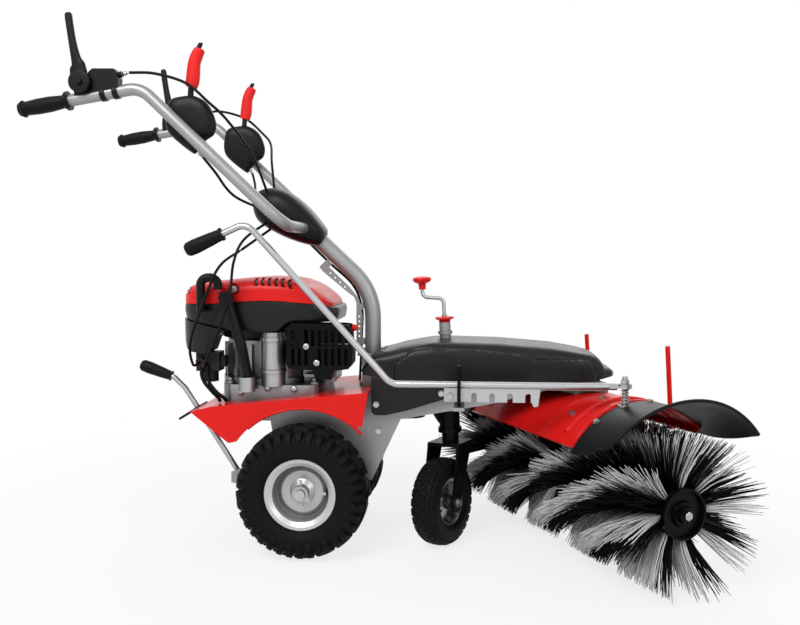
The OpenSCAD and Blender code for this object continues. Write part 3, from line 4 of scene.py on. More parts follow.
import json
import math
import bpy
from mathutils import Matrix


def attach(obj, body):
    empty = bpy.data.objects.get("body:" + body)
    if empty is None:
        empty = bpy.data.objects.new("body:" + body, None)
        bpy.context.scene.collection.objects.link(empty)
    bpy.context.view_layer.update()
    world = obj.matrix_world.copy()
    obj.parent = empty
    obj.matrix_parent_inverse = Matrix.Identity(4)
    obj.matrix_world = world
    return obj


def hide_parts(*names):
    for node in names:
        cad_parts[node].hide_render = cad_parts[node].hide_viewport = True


bl_info = {
    "name": "Power Brush Sweeper",
    "version": (1, 0, 0),
    "blender": (4, 5, 0),
    "location": "View3D > Sidebar > Sweeper",
    "description": "Finishes and fine pieces for a walk-behind power brush sweeper",
    "category": "Object",
}

import bpy
import numpy as np

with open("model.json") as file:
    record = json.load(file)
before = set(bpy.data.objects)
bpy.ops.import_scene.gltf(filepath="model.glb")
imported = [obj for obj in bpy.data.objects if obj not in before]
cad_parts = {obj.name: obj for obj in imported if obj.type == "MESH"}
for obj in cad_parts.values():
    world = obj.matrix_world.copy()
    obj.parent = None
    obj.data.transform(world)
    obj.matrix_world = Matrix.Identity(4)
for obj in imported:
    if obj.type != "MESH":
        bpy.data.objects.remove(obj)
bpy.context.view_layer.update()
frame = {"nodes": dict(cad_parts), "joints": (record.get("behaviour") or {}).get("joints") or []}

# Places on the machine, in metres, worked out from the frame
JOINTS = {j["name"]: j for j in frame["joints"]}


def joint_place(name):
    """Where a joint sits at rest, in the row frame."""
    return np.array(JOINTS[name]["pos_m"], float)


BRUSH = joint_place("brush_turn")
BRUSH_AXIS = np.array(JOINTS["brush_turn"]["axis"], float)
HEAD_FORWARD = np.array([BRUSH_AXIS[1], -BRUSH_AXIS[0], 0.0])
UP = np.array([0.0, 0.0, 1.0])
MM = 0.001
AXLE_X = joint_place("wheels_roll")[0]


def at(x, y, z):
    """A point given in millimetres from the ground under the drive axle."""
    return np.array([x * MM + AXLE_X, y * MM, z * MM])


def head_point(forward, along, height):
    """Points of the swinging head: forward of the brush axis, along it, and up from it."""
    forward, along, height = np.broadcast_arrays(forward, along, height)
    return (BRUSH + forward[..., None] * HEAD_FORWARD + along[..., None] * BRUSH_AXIS
            + height[..., None] * UP)


# Meshes from arrays

def mesh_piece(name, points, faces, material, body, slot, smooth=True, crease=0.0):
    """A mesh from an array of points and one or more arrays of faces, riding on a body. Edges that turn by
    more than the crease, in degrees, stay sharp."""
    mesh = bpy.data.meshes.new(name)
    mesh.from_pydata(points.reshape(-1, 3).tolist(), [], [f for a in faces for f in a.tolist()])
    mesh.polygons.foreach_set("use_smooth", np.full(len(mesh.polygons), smooth))
    mesh.materials.append(material)
    mesh.update()
    if crease:
        mesh.set_sharp_from_angle(angle=math.radians(crease))
    piece = bpy.data.objects.new(name, mesh)
    bpy.context.scene.collection.objects.link(piece)
    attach(piece, body)
    return piece


def grid_faces(rows, columns, close_rows=False, close_columns=False):
    """Four-sided faces over a grid of points, wrapped round either way where asked."""
    i = np.arange(rows if close_rows else rows - 1)[:, None]
    j = np.arange(columns if close_columns else columns - 1)[None, :]
    i2, j2 = (i + 1) % rows, (j + 1) % columns
    quads = np.stack([i * columns + j, i * columns + j2, i2 * columns + j2, i2 * columns + j], -1)
    return quads.reshape(-1, 4)


def swept_tube(path, radius, sides=12):
    """A round section carried along a path: each ring stands square to the path's direction.
    Returns the points, the wall's faces and the two end caps."""
    path = np.asarray(path, float)
    way = np.gradient(path, axis=0)
    way /= np.linalg.norm(way, axis=1, keepdims=True)
    ref = np.array([0.31, 0.87, 0.39])
    side = np.cross(way, ref)
    side /= np.linalg.norm(side, axis=1, keepdims=True)
    lift = np.cross(side, way)
    turn = np.linspace(0, 2 * np.pi, sides, endpoint=False)
    radius = np.broadcast_to(np.asarray(radius, float), (len(path),))
    ring = (side[:, None] * np.cos(turn)[None, :, None] + lift[:, None] * np.sin(turn)[None, :, None])
    points = path[:, None] + ring * radius[:, None, None]
    wall = grid_faces(len(path), sides, close_columns=True)[:, ::-1]
    caps = [np.arange(sides)[None], (np.arange(sides)[::-1] + (len(path) - 1) * sides)[None]]
    return points, [wall] + caps


def spline(a, b, c, d, steps):
    """Catmull-Rom stretches from b to c, with a the point before and d the point after."""
    t = np.linspace(0, 1, steps, endpoint=False)[:, None]
    return 0.5 * (2 * b + (c - a) * t + (2 * a - 5 * b + 4 * c - d) * t ** 2
                  + (3 * b - a - 3 * c + d) * t ** 3)


def smooth_path(points, steps=8):
    """A Catmull-Rom curve through given points."""
    p = np.asarray(points, float)
    p = np.vstack([2 * p[0] - p[1], p, 2 * p[-1] - p[-2]])
    curve = spline(p[:-3, None], p[1:-2, None], p[2:-1, None], p[3:, None], steps)
    return np.vstack([curve.reshape(-1, 3), p[-2]])


def rounded(turn, n):
    """Cosine and sine pushed out towards a rectangle: |c|^n + |s|^n = 1 along the outline."""
    c, s = np.cos(turn), np.sin(turn)
    k = (np.abs(c) ** n + np.abs(s) ** n) ** (-1.0 / n)
    return c * k, s * k


def closed_curve(points, steps=8):
    """A closed Catmull-Rom outline through given points."""
    p = np.asarray(points, float)
    a, b, c, d = (np.roll(p, k, axis=0)[:, None] for k in (1, 0, -1, -2))
    return spline(a, b, c, d, steps).reshape(-1, p.shape[1])


def step(value, width):
    """A soft step from 0 to 1 across a width, centred on 0."""
    t = np.clip(value / width + 0.5, 0, 1)
    return t * t * (3 - 2 * t)


def loft_faces(rows, columns, clockwise=False):
    """Wall and two end caps of rings of points, with outward faces for rings that run
    counter-clockwise seen against the way the rows go, or clockwise where that is said."""
    wall = grid_faces(rows, columns, close_columns=True)
    first = np.arange(columns)[None]
    faces = [wall, first[:, ::-1], first + (rows - 1) * columns]
    return [f[:, ::-1] for f in faces] if clockwise else faces


def joined(shapes):
    """The points and faces of several shapes as one shape."""
    start = np.cumsum([0] + [points.size // 3 for points, _ in shapes])
    return (np.concatenate([points.reshape(-1, 3) for points, _ in shapes]),
            [f + k for (_, faces), k in zip(shapes, start) for f in faces])


def across_axis(axis):
    """Two directions square to an axis and to each other, the first as upright as it can be."""
    axis = np.asarray(axis, float)
    first = UP - axis * (UP @ axis) if abs(UP @ axis) < 0.9 else np.cross([0.0, 1.0, 0.0], axis)
    first = first / np.linalg.norm(first)
    return first, np.cross(axis, first)


def turned(profile, place, axis, sides=28):
    """A profile of rows (along, radius) in millimetres, turned about an axis through a place."""
    along, radius = np.asarray(profile, float).T * MM
    first, second = across_axis(axis)
    turn = np.linspace(0, 2 * np.pi, sides, endpoint=False)
    ring = np.cos(turn)[:, None] * first + np.sin(turn)[:, None] * second
    points = place + along[:, None, None] * np.asarray(axis, float) + radius[:, None, None] * ring
    return points, loft_faces(len(along), sides)


def plate(middle, half, near, far, n=9.0):
    """A flat plate across the machine: a rounded outline in x and z carried from near to far."""
    c, s = rounded(np.linspace(0, 2 * np.pi, 64, endpoint=False), n)
    y = np.array([near, far])[:, None]
    points = at_grid(middle[0] + half[0] * c, y, middle[1] + half[1] * s)
    return points, loft_faces(2, 64, clockwise=True)


SCREW = [(-2, 6.2), (2.2, 6.2), (3.4, 5.0), (3.8, 3.2), (2.4, 2.8), (2.4, 0.4)]
BARREL = [(0, 3.0), (1, 5.2), (9, 5.2), (10, 3.6), (12, 3.6), (13, 4.8), (19, 4.8), (20, 2.4), (26, 2.2)]
DOME = [(-3, 5.5), (1, 5.5), (3.5, 4.9), (5.4, 3.4), (6.4, 1.2), (6.5, 0.3)]


# Shader groups

def new_group(name, inputs, outputs):
    """An empty shader node group with its sockets."""
    group = bpy.data.node_groups.new(name, "ShaderNodeTree")
    for kind, label, value in inputs:
        socket = group.interface.new_socket(label, in_out="INPUT", socket_type=kind)
        socket.default_value = value
    for kind, label in outputs:
        group.interface.new_socket(label, in_out="OUTPUT", socket_type=kind)
    return group, group.nodes.new("NodeGroupInput"), group.nodes.new("NodeGroupOutput")


def node(tree, kind, values=(), **settings):
    """A new shader node of a kind, with its own settings and then its inputs' values by socket."""
    made = tree.nodes.new("ShaderNode" + kind)
    for name, setting in settings.items():
        setattr(made, name, setting)
    for socket, value in dict(values).items():
        made.inputs[socket].default_value = value
    return made


def wire(tree, *links):
    """Joins nodes: each link is a node, its output, the next node and that one's input."""
    for source, output, target, entry in links:
        tree.links.new(source.outputs[output], target.inputs[entry])


def grain_group():
    """Fine moulded or cast grain: two sizes of noise added as a height."""
    group, entry, leave = new_group(
        "fine_grain", [("NodeSocketFloat", "Scale", 900.0), ("NodeSocketFloat", "Coarse", 0.35)],
        [("NodeSocketFloat", "Height")])
    place = node(group, "TexCoord")
    fine = node(group, "TexNoise", {"Detail": 2.0})
    broad = node(group, "TexNoise", {"Detail": 3.0})
    slow = node(group, "Math", {1: 0.13}, operation="MULTIPLY")
    join = node(group, "Mix", data_type="FLOAT")
    wire(group, (place, "Object", fine, "Vector"), (place, "Object", broad, "Vector"),
         (entry, "Scale", fine, "Scale"), (entry, "Scale", slow, 0), (slow, 0, broad, "Scale"),
         (entry, "Coarse", join, "Factor"), (fine, "Fac", join, "A"), (broad, "Fac", join, "B"),
         (join, "Result", leave, "Height"))


def dust_and_corner_shade_group():
    """A thin layer of dust and handling: cloudy patches shift the colour and roughness, more on
    faces that look up. Painted corner shade: ambient occlusion darkens the colour in corners and between
    parts."""
    group, entry, leave = new_group(
        "dust_and_painted_corner_shade",
        [("NodeSocketColor", "Color", (0.5, 0.5, 0.5, 1)), ("NodeSocketColor", "Dust", (0.4, 0.38, 0.35, 1)),
         ("NodeSocketFloat", "Amount", 0.1), ("NodeSocketFloat", "Scale", 14.0),
         ("NodeSocketFloat", "Roughness", 0.4), ("NodeSocketFloat", "Spread", 0.15),
         ("NodeSocketFloat", "Painted Corner Shade", 0.5)],
        [("NodeSocketColor", "Color"), ("NodeSocketFloat", "Roughness")])
    place = node(group, "TexCoord")
    cloud = node(group, "TexNoise", {"Detail": 6.0, "Roughness": 0.65})
    ramp = node(group, "MapRange", {"From Min": 0.38, "From Max": 0.72})
    split = node(group, "SeparateXYZ")
    upper = node(group, "MapRange", {"From Min": -0.2, "To Min": 0.35})
    mask = node(group, "Math", operation="MULTIPLY")
    amount = node(group, "Math", operation="MULTIPLY")
    mix = node(group, "Mix", data_type="RGBA")
    rough = node(group, "Math", operation="MULTIPLY_ADD")
    # painted corner shade: ambient occlusion, weighted by the corner share, darkens the colour where parts
    # crowd each other
    corner_shade_occlusion = node(group, "AmbientOcclusion", {"Distance": 0.045}, samples=6)
    rest = node(group, "Math", {0: 1.0}, operation="SUBTRACT")
    shade = node(group, "Math", operation="MULTIPLY_ADD")
    dim = node(group, "Mix", {"Factor": 1.0}, data_type="RGBA", blend_type="MULTIPLY")
    wire(group, (entry, "Painted Corner Shade", rest, 1), (corner_shade_occlusion, "AO", shade, 0), (entry, "Painted Corner Shade", shade, 1),
         (rest, 0, shade, 2), (mix, "Result", dim, "A"), (shade, 0, dim, "B"),
         (place, "Object", cloud, "Vector"), (entry, "Scale", cloud, "Scale"), (cloud, "Fac", ramp, "Value"),
         (place, "Normal", split, "Vector"), (split, "Z", upper, "Value"), (ramp, "Result", mask, 0),
         (upper, "Result", mask, 1), (mask, 0, amount, 0), (entry, "Amount", amount, 1),
         (amount, 0, mix, "Factor"), (entry, "Color", mix, "A"), (entry, "Dust", mix, "B"),
         (dim, "Result", leave, "Color"), (ramp, "Result", rough, 0), (entry, "Spread", rough, 1),
         (entry, "Roughness", rough, 2), (rough, 0, leave, "Roughness"))


GRAIN_DEPTH = 0.0002
COAT_ROUGHNESS = 0.08
# painted dark reflection on polished metal: the facing blend and the near black tone it pulls towards
PAINTED_REFLECTION_BLEND = 0.42
PAINTED_REFLECTION_TONE = (0.012, 0.012, 0.012, 1)


def finish(name, color, roughness, metallic=0.0, dust=0.06, spread=0.1, patch=14.0, grain=0.0,
           grain_scale=900.0, coarse=0.35, coat=0.0, specular=0.5, corners=0.5, edge=0.0):
    """A finished surface: dust and painted corner shade over a base colour, with grain as a bump. Polished
    metal takes a painted dark reflection by the edge share where it turns away from the eye."""
    material = bpy.data.materials.new(name + "_finish")
    material.use_nodes = True
    tree = material.node_tree
    shader = tree.nodes["Principled BSDF"]
    # dust and painted corner shade over the base colour; the corners share sets how much ambient occlusion
    # darkens it
    dust_and_shade = node(tree, "Group", {"Color": (*color, 1), "Amount": dust, "Scale": patch, "Roughness": roughness,
                                "Spread": spread, "Painted Corner Shade": corners},
                node_tree=bpy.data.node_groups["dust_and_painted_corner_shade"])
    base = (dust_and_shade, "Color")
    # painted dark reflection: where the face turns away from the eye the colour is pulled towards a near
    # black tone, by the edge share
    if edge:
        facing = node(tree, "LayerWeight", {"Blend": PAINTED_REFLECTION_BLEND})
        share = node(tree, "Math", {1: edge}, operation="MULTIPLY")
        painted_dark_reflection = node(tree, "Mix", {"B": PAINTED_REFLECTION_TONE}, data_type="RGBA")
        wire(tree, (facing, "Facing", share, 0), (share, 0, painted_dark_reflection, "Factor"), (*base, painted_dark_reflection, "A"))
        base = (painted_dark_reflection, "Result")
    wire(tree, (*base, shader, "Base Color"), (dust_and_shade, "Roughness", shader, "Roughness"))
    shader.inputs["Metallic"].default_value = metallic
    shader.inputs["Coat Weight"].default_value = coat
    shader.inputs["Coat Roughness"].default_value = COAT_ROUGHNESS
    shader.inputs["Specular IOR Level"].default_value = specular
    if grain:
        height = node(tree, "Group", {"Scale": grain_scale, "Coarse": coarse},
                      node_tree=bpy.data.node_groups["fine_grain"])
        bump = node(tree, "Bump", {"Strength": grain, "Distance": GRAIN_DEPTH})
        wire(tree, (height, "Height", bump, "Height"), (bump, "Normal", shader, "Normal"))


def finished(name):
    """The finish made under a name."""
    return bpy.data.materials[name + "_finish"]


def fitting(name, shape, body="chassis"):
    """A small plated piece from its points and faces."""
    return mesh_piece(name, *shape, finished("zinc"), body, "zinc_steel", crease=40)


def moulding(name, shape, body="chassis", crease=0.0):
    """A deep black moulded piece from its points and faces."""
    return mesh_piece(name, *shape, finished("deep_black"), body, "black_plastic", crease=crease)


# Settings

def colour(label, words, value):
    return bpy.props.FloatVectorProperty(
        name=label, description=words, subtype="COLOR", size=3, min=0.0, max=1.0, default=value)


def length(label, words, value):
    return bpy.props.FloatProperty(name=label, description=words, default=value, unit="LENGTH")


class SweeperColours(bpy.types.PropertyGroup):
    red: colour("Red", "Paint of the deck, hood and engine cover", (0.74, 0.011, 0.009))
    grey: colour("Grey", "Paint of the frame and handlebar", (0.35, 0.355, 0.36))
    black: colour("Black", "Black moulded covers", (0.008, 0.008, 0.0085))
    deep: colour("Deep black", "Black levers, pods and hoses", (0.005, 0.005, 0.0055))
    steel: colour("Black steel", "Black painted steel", (0.004, 0.004, 0.0045))
    rubber: colour("Rubber", "Grips and belts", (0.006, 0.006, 0.0065))
    tyre: colour("Tyre", "Tyre rubber", (0.006, 0.006, 0.0065))
    zinc: colour("Zinc", "Plated rods and bolts", (0.52, 0.52, 0.53))
    rim: colour("Rim", "Painted wheel rims", (0.62, 0.625, 0.63))
    alloy: colour("Alloy", "Cast engine parts", (0.46, 0.46, 0.465))
    pale_bristle: colour("Pale bristle", "Light strands of the brush", (0.74, 0.74, 0.75))
    dark_bristle: colour("Dark bristle", "Dark strands of the brush", (0.003, 0.003, 0.0032))
    flap: colour("Flap", "Rubber flaps of the hood", (0.005, 0.005, 0.0055))
    iron: colour("Iron", "Gear case and carburettor", (0.02, 0.021, 0.023))
    chrome: colour("Chrome", "Castor rim", (0.34, 0.34, 0.345))


class SweeperSizes(bpy.types.PropertyGroup):
    strips: bpy.props.IntProperty(
        name="Strips", description="Spiral strips of strands round the brush", default=8, min=4, max=12)
    layers: bpy.props.IntProperty(
        name="Layers", description="Strands side by side in one face of a strip", default=4, min=1, max=6)
    strand_pitch: length("Strand pitch", "Step between strands along the brush", 0.0050)
    strand_width: length("Strand width", "Radius of a strand at its root", 0.0018)
    twist: bpy.props.FloatProperty(
        name="Twist", description="Turn of the strips along the brush, radians for each metre", default=3.84)
    face_turn: bpy.props.FloatProperty(
        name="Face turn", description="Degrees from a strip's pale face to its dark face", default=15.0)
    face_width: bpy.props.FloatProperty(
        name="Face width", description="Degrees that one face of a strip covers at the core", default=10.0)
    brush_half: length("Brush half", "From the brush's middle to its last strands", 0.397)
    gear_half: length("Gear half", "Half of the bare stretch at the gear case", 0.042)
    brush_radius: length("Brush radius", "From the axis to the strands' tips", 0.182)
    core_radius: length("Core radius", "Radius of the tube that holds the tufts", 0.045)


# Operators

NODE_FINISH = {
    "red_paint": ["engine_deck", "brush_hood", "marker_rods"],
    "red_plastic": ["engine_cowl", "crank_knob", "crank_disc", "control_lever_right", "control_lever_left"],
    "grey_paint": ["main_frame", "column_tube", "handlebar", "jack_neck", "turntable"],
    "black_plastic": ["belt_cover", "cover_panels", "engine_shroud", "air_filter"],
    "deep_black": ["console_shell", "lever_brackets", "lever_quadrants", "hand_lever_right",
                   "hand_lever_left", "oil_tube", "starter_grip", "control_cables"],
    "rubber": ["handle_grips", "rod_grip", "rear_lever_grip", "end_flaps", "drive_belts"],
    "black_steel": ["rod_guide", "lever_slot_plate", "muffler", "jack_housing", "castor_stem", "castor_fork",
                    "brush_core", "end_discs"],
    "cast_alloy": ["crankcase", "brush_gear_case"],
    "gear_iron": ["gearbox", "carburettor"],
    "zinc": ["frame_bolts", "engine_pulley", "jackshaft", "brush_drive_shaft", "jack_crank", "castor_axle",
             "drive_axle", "hood_bolts", "rod_bolt", "rod_spring", "steering_rod", "rear_lever"],
    "rim_silver": ["wheel_rims"],
    "dark_chrome": ["castor_rim"],
    "tyre": ["wheel_tyres", "castor_tyre"],
    "dark_bristle": ["bristles_black"],
    "pale_bristle": ["bristles_white"],
}


class SWEEPER_OT_finishes(bpy.types.Operator):
    """Make the finishes and lay them on the frame's parts"""
    bl_idname = "sweeper.finishes"
    bl_label = "Finishes"

    def execute(self, context):
        tone = context.scene.sweeper_colours
        grain_group()
        dust_and_corner_shade_group()
        finish("red_paint", tone.red, 0.2, dust=0.006, coat=0.15, specular=0.08, grain=0.05, grain_scale=300,
               coarse=0.8)
        finish("red_plastic", tone.red, 0.28, dust=0.01, specular=0.22, grain=0.06, grain_scale=700)
        finish("grey_paint", tone.grey, 0.32, metallic=0.45, dust=0.05, specular=0.4, edge=0.55)
        finish("black_plastic", tone.black, 0.27, dust=0.004, specular=0.24, grain=0.07, grain_scale=1300)
        finish("deep_black", tone.deep, 0.32, dust=0.004, specular=0.16, grain=0.15, grain_scale=1300)
        finish("rubber", tone.rubber, 0.42, dust=0.006, specular=0.1, grain=0.2, grain_scale=800)
        finish("flap_rubber", tone.flap, 0.34, dust=0.005, specular=0.12, grain=0.2, grain_scale=500)
        finish("black_steel", tone.steel, 0.26, dust=0.004, specular=0.08, grain=0.1, grain_scale=700)
        finish("cast_alloy", tone.alloy, 0.3, metallic=0.8, dust=0.05, specular=0.4, edge=1.0, grain=0.3,
               grain_scale=600, corners=1.0)
        finish("gear_iron", tone.iron, 0.45, metallic=0.2, dust=0.05, specular=0.2, grain=0.5,
               grain_scale=350)
        finish("zinc", tone.zinc, 0.22, metallic=0.85, dust=0.05, spread=0.16, edge=0.8)
        finish("rim_silver", tone.rim, 0.28, metallic=0.6, dust=0.05, edge=0.45, grain=0.06, corners=0.9)
        finish("dark_chrome", tone.chrome, 0.2, metallic=0.9, dust=0.04, grain=0.05, grain_scale=600)
        finish("tyre", tone.tyre, 0.5, dust=0.008, spread=0.2, patch=30, specular=0.08, grain=0.4,
               grain_scale=700, corners=0.7)
        finish("dark_bristle", tone.dark_bristle, 0.45, dust=0.0, specular=0.06, corners=0.0)
        finish("pale_bristle", tone.pale_bristle, 0.45, dust=0.06, patch=60, specular=0.2, corners=0.35)
        for name, nodes in NODE_FINISH.items():
            for node in nodes:
                for slot in frame["nodes"][node].material_slots:
                    slot.material = finished(name)
        return {"FINISHED"}


class SWEEPER_OT_bristles(bpy.types.Operator):
    """Fill the brush with tufts that run round it in pale and dark spirals"""
    bl_idname = "sweeper.bristles"
    bl_label = "Brush tufts"

    def execute(self, context):
        size = context.scene.sweeper_sizes
        for tone, name, node, slot in ((0, "dark_bristle", "bristles_black", "bristle_black"),
                                       (1, "pale_bristle", "bristles_white", "bristle_grey")):
            piece = mesh_piece(node + "_tufts", *strip_strands(size, tone), finished(name), "brush", slot)
            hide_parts(node)
        for side, name in ((-1, "near"), (1, "far")):
            nut = turned(BRUSH_NUT, head_point(0.0, side * NUT_ALONG, 0.0), side * BRUSH_AXIS, 6)
            mesh_piece(name + "_brush_nut", *nut, finished("zinc"), "brush", "zinc_steel", smooth=False)
        return {"FINISHED"}


# Profile of the nut on the brush's shaft, and its place along the shaft in metres
BRUSH_NUT = [(-2, 10.5), (9, 10.5), (10, 9)]
NUT_ALONG = 0.418


def strip_strands(size, tone):
    """Strands of one tone. A strip runs round the brush as it goes along it, angle = k * along, and each
    strip has a pale face and a dark face a few degrees on. A strand starts on the core at
    its place in the strip, follows the radius and bends as t^2, with a tapered three-sided section:
    theta(t) = angle + fan * t + bend * t^2, r(t) = core + length * t."""
    rng = np.random.default_rng(11 + tone)
    reach = size.brush_half
    along = np.arange(size.gear_half, reach, size.strand_pitch)
    along = np.concatenate([-along[::-1], along])
    along, strip, layer = np.meshgrid(along, np.arange(size.strips), np.arange(size.layers), indexing="ij")
    shape = along.shape
    face = math.radians(size.face_turn) * (1 - tone)
    spread = math.radians(size.face_width) * (layer / max(size.layers - 1, 1) - 0.5)
    angle = 2 * np.pi * strip / size.strips + size.twist * along + face + spread
    angle = angle + rng.normal(0, 0.010, shape)
    # clumps lean together, single strands a little apart
    clump = np.sin(61.0 * along + 2.4 * strip) + 0.7 * np.sin(143.0 * along + 1.1 * strip + tone)
    fan = 0.026 * clump + rng.normal(0, 0.022, shape)
    bend = rng.normal(0, 0.02, shape)
    end = np.clip((np.abs(along) - reach + 0.09) / 0.09, 0, 1) ** 2
    lean = rng.normal(0, 0.007, shape) + np.sign(along) * 0.070 * end
    length = size.brush_radius - size.core_radius - np.abs(rng.normal(0, 0.006, shape))
    t = np.linspace(0, 1, 4)
    theta = angle[..., None] + fan[..., None] * t + bend[..., None] * t ** 2
    radius = size.core_radius + length[..., None] * t
    place = along[..., None] + rng.normal(0, 0.0012, shape)[..., None] + lean[..., None] * t ** 1.3
    place = np.sign(along)[..., None] * np.maximum(np.abs(place), size.gear_half + 0.002)
    thick = size.strand_width * np.array([1.0, 1.0, 0.85, 0.35])
    spoke = np.array([0.0, 2.0944, 4.1888]) + rng.uniform(0, 2.0, shape)[..., None, None]
    a = theta[..., None] + thick[:, None] * np.cos(spoke) / np.maximum(radius[..., None], 0.02)
    p = place[..., None] + thick[:, None] * np.sin(spoke)
    r = np.broadcast_to(radius[..., None], a.shape)
    points = head_point(r * np.cos(a), p, r * np.sin(a)).reshape(-1, 12, 3)
    start = 12 * np.arange(len(points))[:, None, None]
    wall = (grid_faces(4, 3, close_columns=True)[None, :, ::-1] + start).reshape(-1, 4)
    caps = (np.array([[11, 10, 9], [0, 1, 2]])[None] + start).reshape(-1, 3)
    return points, [wall, caps]


class SWEEPER_OT_engine(bpy.types.Operator):
    """Mould the engine's top cowl and blower shroud, with its hoses, bolts and caps"""
    bl_idname = "sweeper.engine"
    bl_label = "Engine covers"

    def execute(self, context):
        points, faces, slot_shade_faces = cowl_surface()
        piece = mesh_piece("cowl_shell", points, faces, finished("red_plastic"), "chassis", "red_plastic",
                           crease=50)
        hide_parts("engine_cowl")
        # dark sheets on the floors of the slots and louvres: painted shade for the shadow inside them
        used, index = np.unique(slot_shade_faces, return_inverse=True)
        piece = mesh_piece("cowl_slot_shade_sheets", points.reshape(-1, 3)[used] + SHADE_SHEET_LIFT, [index.reshape(-1, 4)],
                           finished("black_plastic"), "chassis", "black_plastic")
        wall = piece.modifiers.new("wall", "SOLIDIFY")
        wall.thickness = SHADE_SHEET_WALL
        wall.offset = 1
        piece = mesh_piece("shroud_shell", *shroud_surface(), finished("black_plastic"), "chassis",
                           "black_plastic", crease=40)
        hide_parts("engine_shroud")
        mesh_piece("muffler_back", *plate(**MUFFLER_BACK), finished("black_steel"), "chassis", "black_steel",
                   crease=40)
        for k, place in enumerate(ENGINE_BOLTS):
            fitting(f"engine_bolt_{k}", turned(np.array(SCREW) * 1.25, at(*place), NEAR_SIDE))
        fitting("rope_eyelet", turned(EYELET, at(*EYELET_PLACE), NEAR_SIDE))
        for name, (place, axis) in RED_CAPS.items():
            cap = turned(np.array(DOME) * 1.5, at(*place), axis)
            mesh_piece(name, *cap, finished("red_plastic"), "chassis", "red_plastic")
        for k, route in enumerate(HOSES):
            hose = swept_tube(smooth_path([at(*v) for v in route], 10), HOSE_RADIUS, 14)
            mesh_piece(f"fuel_hose_{k}", *hose, finished("rubber"), "chassis", "grip_rubber")
        return {"FINISHED"}


ENGINE_MID = -123.0
NEAR_SIDE = (0, -1, 0)
# Lift of the dark sheets laid over the cowl's slot floors as painted shade, and their thickness, in metres
SHADE_SHEET_LIFT = (0, 0, 0.0006)
SHADE_SHEET_WALL = 0.0004
MUFFLER_BACK = {"middle": (40, 551), "half": (79, 27), "near": -103, "far": -98}
ENGINE_BOLTS = [(8, -160, 522.4), (34.5, -163, 482.4), (-167.7, -127, 401), (-97.9, -128, 413),
                (-30, -128, 411)]
EYELET = [(-6, 3), (-6, 9), (2, 9), (4, 8), (4, 4.5), (0, 4)]
EYELET_PLACE = (-176, -142, 662)
RED_CAPS = {"choke_dot": ((-267, -112, 472), NEAR_SIDE), "end_cap": ((121, -110, 566), (1, 0, 0))}
HOSE_RADIUS = 4.6 * MM
HOSES = [[(-262, -104, 476), (-270, -118, 452), (-262, -126, 428), (-242, -128, 404), (-226, -124, 386),
          (-222, -120, 376)],
         [(-248, -104, 470), (-254, -122, 446), (-246, -130, 424), (-226, -132, 400), (-210, -126, 386),
          (-206, -120, 378)]]


def split_line(x):
    """Height of the seam between cowl and shroud: arched in the middle, falling towards the front."""
    return np.interp(x, [-330, -240, -160, -113, -60, 18, 36, 72, 100],
                     [625, 626, 632, 635, 634, 627, 623, 616, 602])


def cowl_surface():
    """A dome over a rounded plan. With f from the crown to the rim, r = sin(f)^(2/5) and
    rise = cos(f)^(2/5), so r^5 + rise^5 = 1; the crest is boxed behind and falls away in front.
    Slots are sunk where slanted rows cross the shoulder, and a round recess in the near side.
    Returns the points, all the faces, and the faces on the slots' floors, which carry the painted shade
    sheets."""
    f = np.linspace(0.02, np.pi / 2, 84)[:, None]
    turn = np.linspace(0, 2 * np.pi, 640, endpoint=False)[None, :]
    c, s = rounded(turn, 4.6)
    r, rise = np.sin(f) ** 0.4, np.maximum(np.cos(f), 0) ** 0.4
    x, y = -128 + 193 * r * c, 151 * r * s
    tall = np.interp(x, [-321, -300, -162, -60, -30, 0, 24, 48, 61], [50, 55, 57, 56, 54, 47, 37, 25, 16])
    z = split_line(x) + tall * rise
    across = x + 131 + 0.53 * (z - 682)
    slot = step(3.6 - np.abs(np.mod(across, 16.5) - 8.2), 1.8) * step(across, 1.0) * step(99 - across, 1.0)
    slot = slot * step(z - 664, 2.0) * step(np.abs(y) - 92, 2.0) * step(146 - np.abs(y), 3.0)
    louvre = step(2.0 - np.abs(np.mod(z, 9.0) - 4.5), 1.4) * step(z - 646, 1.0) * step(673 - z, 1.0)
    louvre = louvre * step(-292 - x, 3.0) * step(np.abs(y) - 40, 3.0)
    recess = step(14 - np.hypot(x + 176, z - 662), 4.0) * (y < 0)
    y = y - np.sign(y) * 5 * slot + 11 * recess
    x = x + 5 * louvre
    z = z - 6 * slot
    faces = loft_faces(84, 640, clockwise=True)
    # faces deep in the slots and louvres, where the painted shade sheets go
    floor = np.maximum(slot, louvre).reshape(-1)[faces[0]].mean(axis=1) > 0.72
    return at_grid(x, y, z), faces, faces[0][floor]


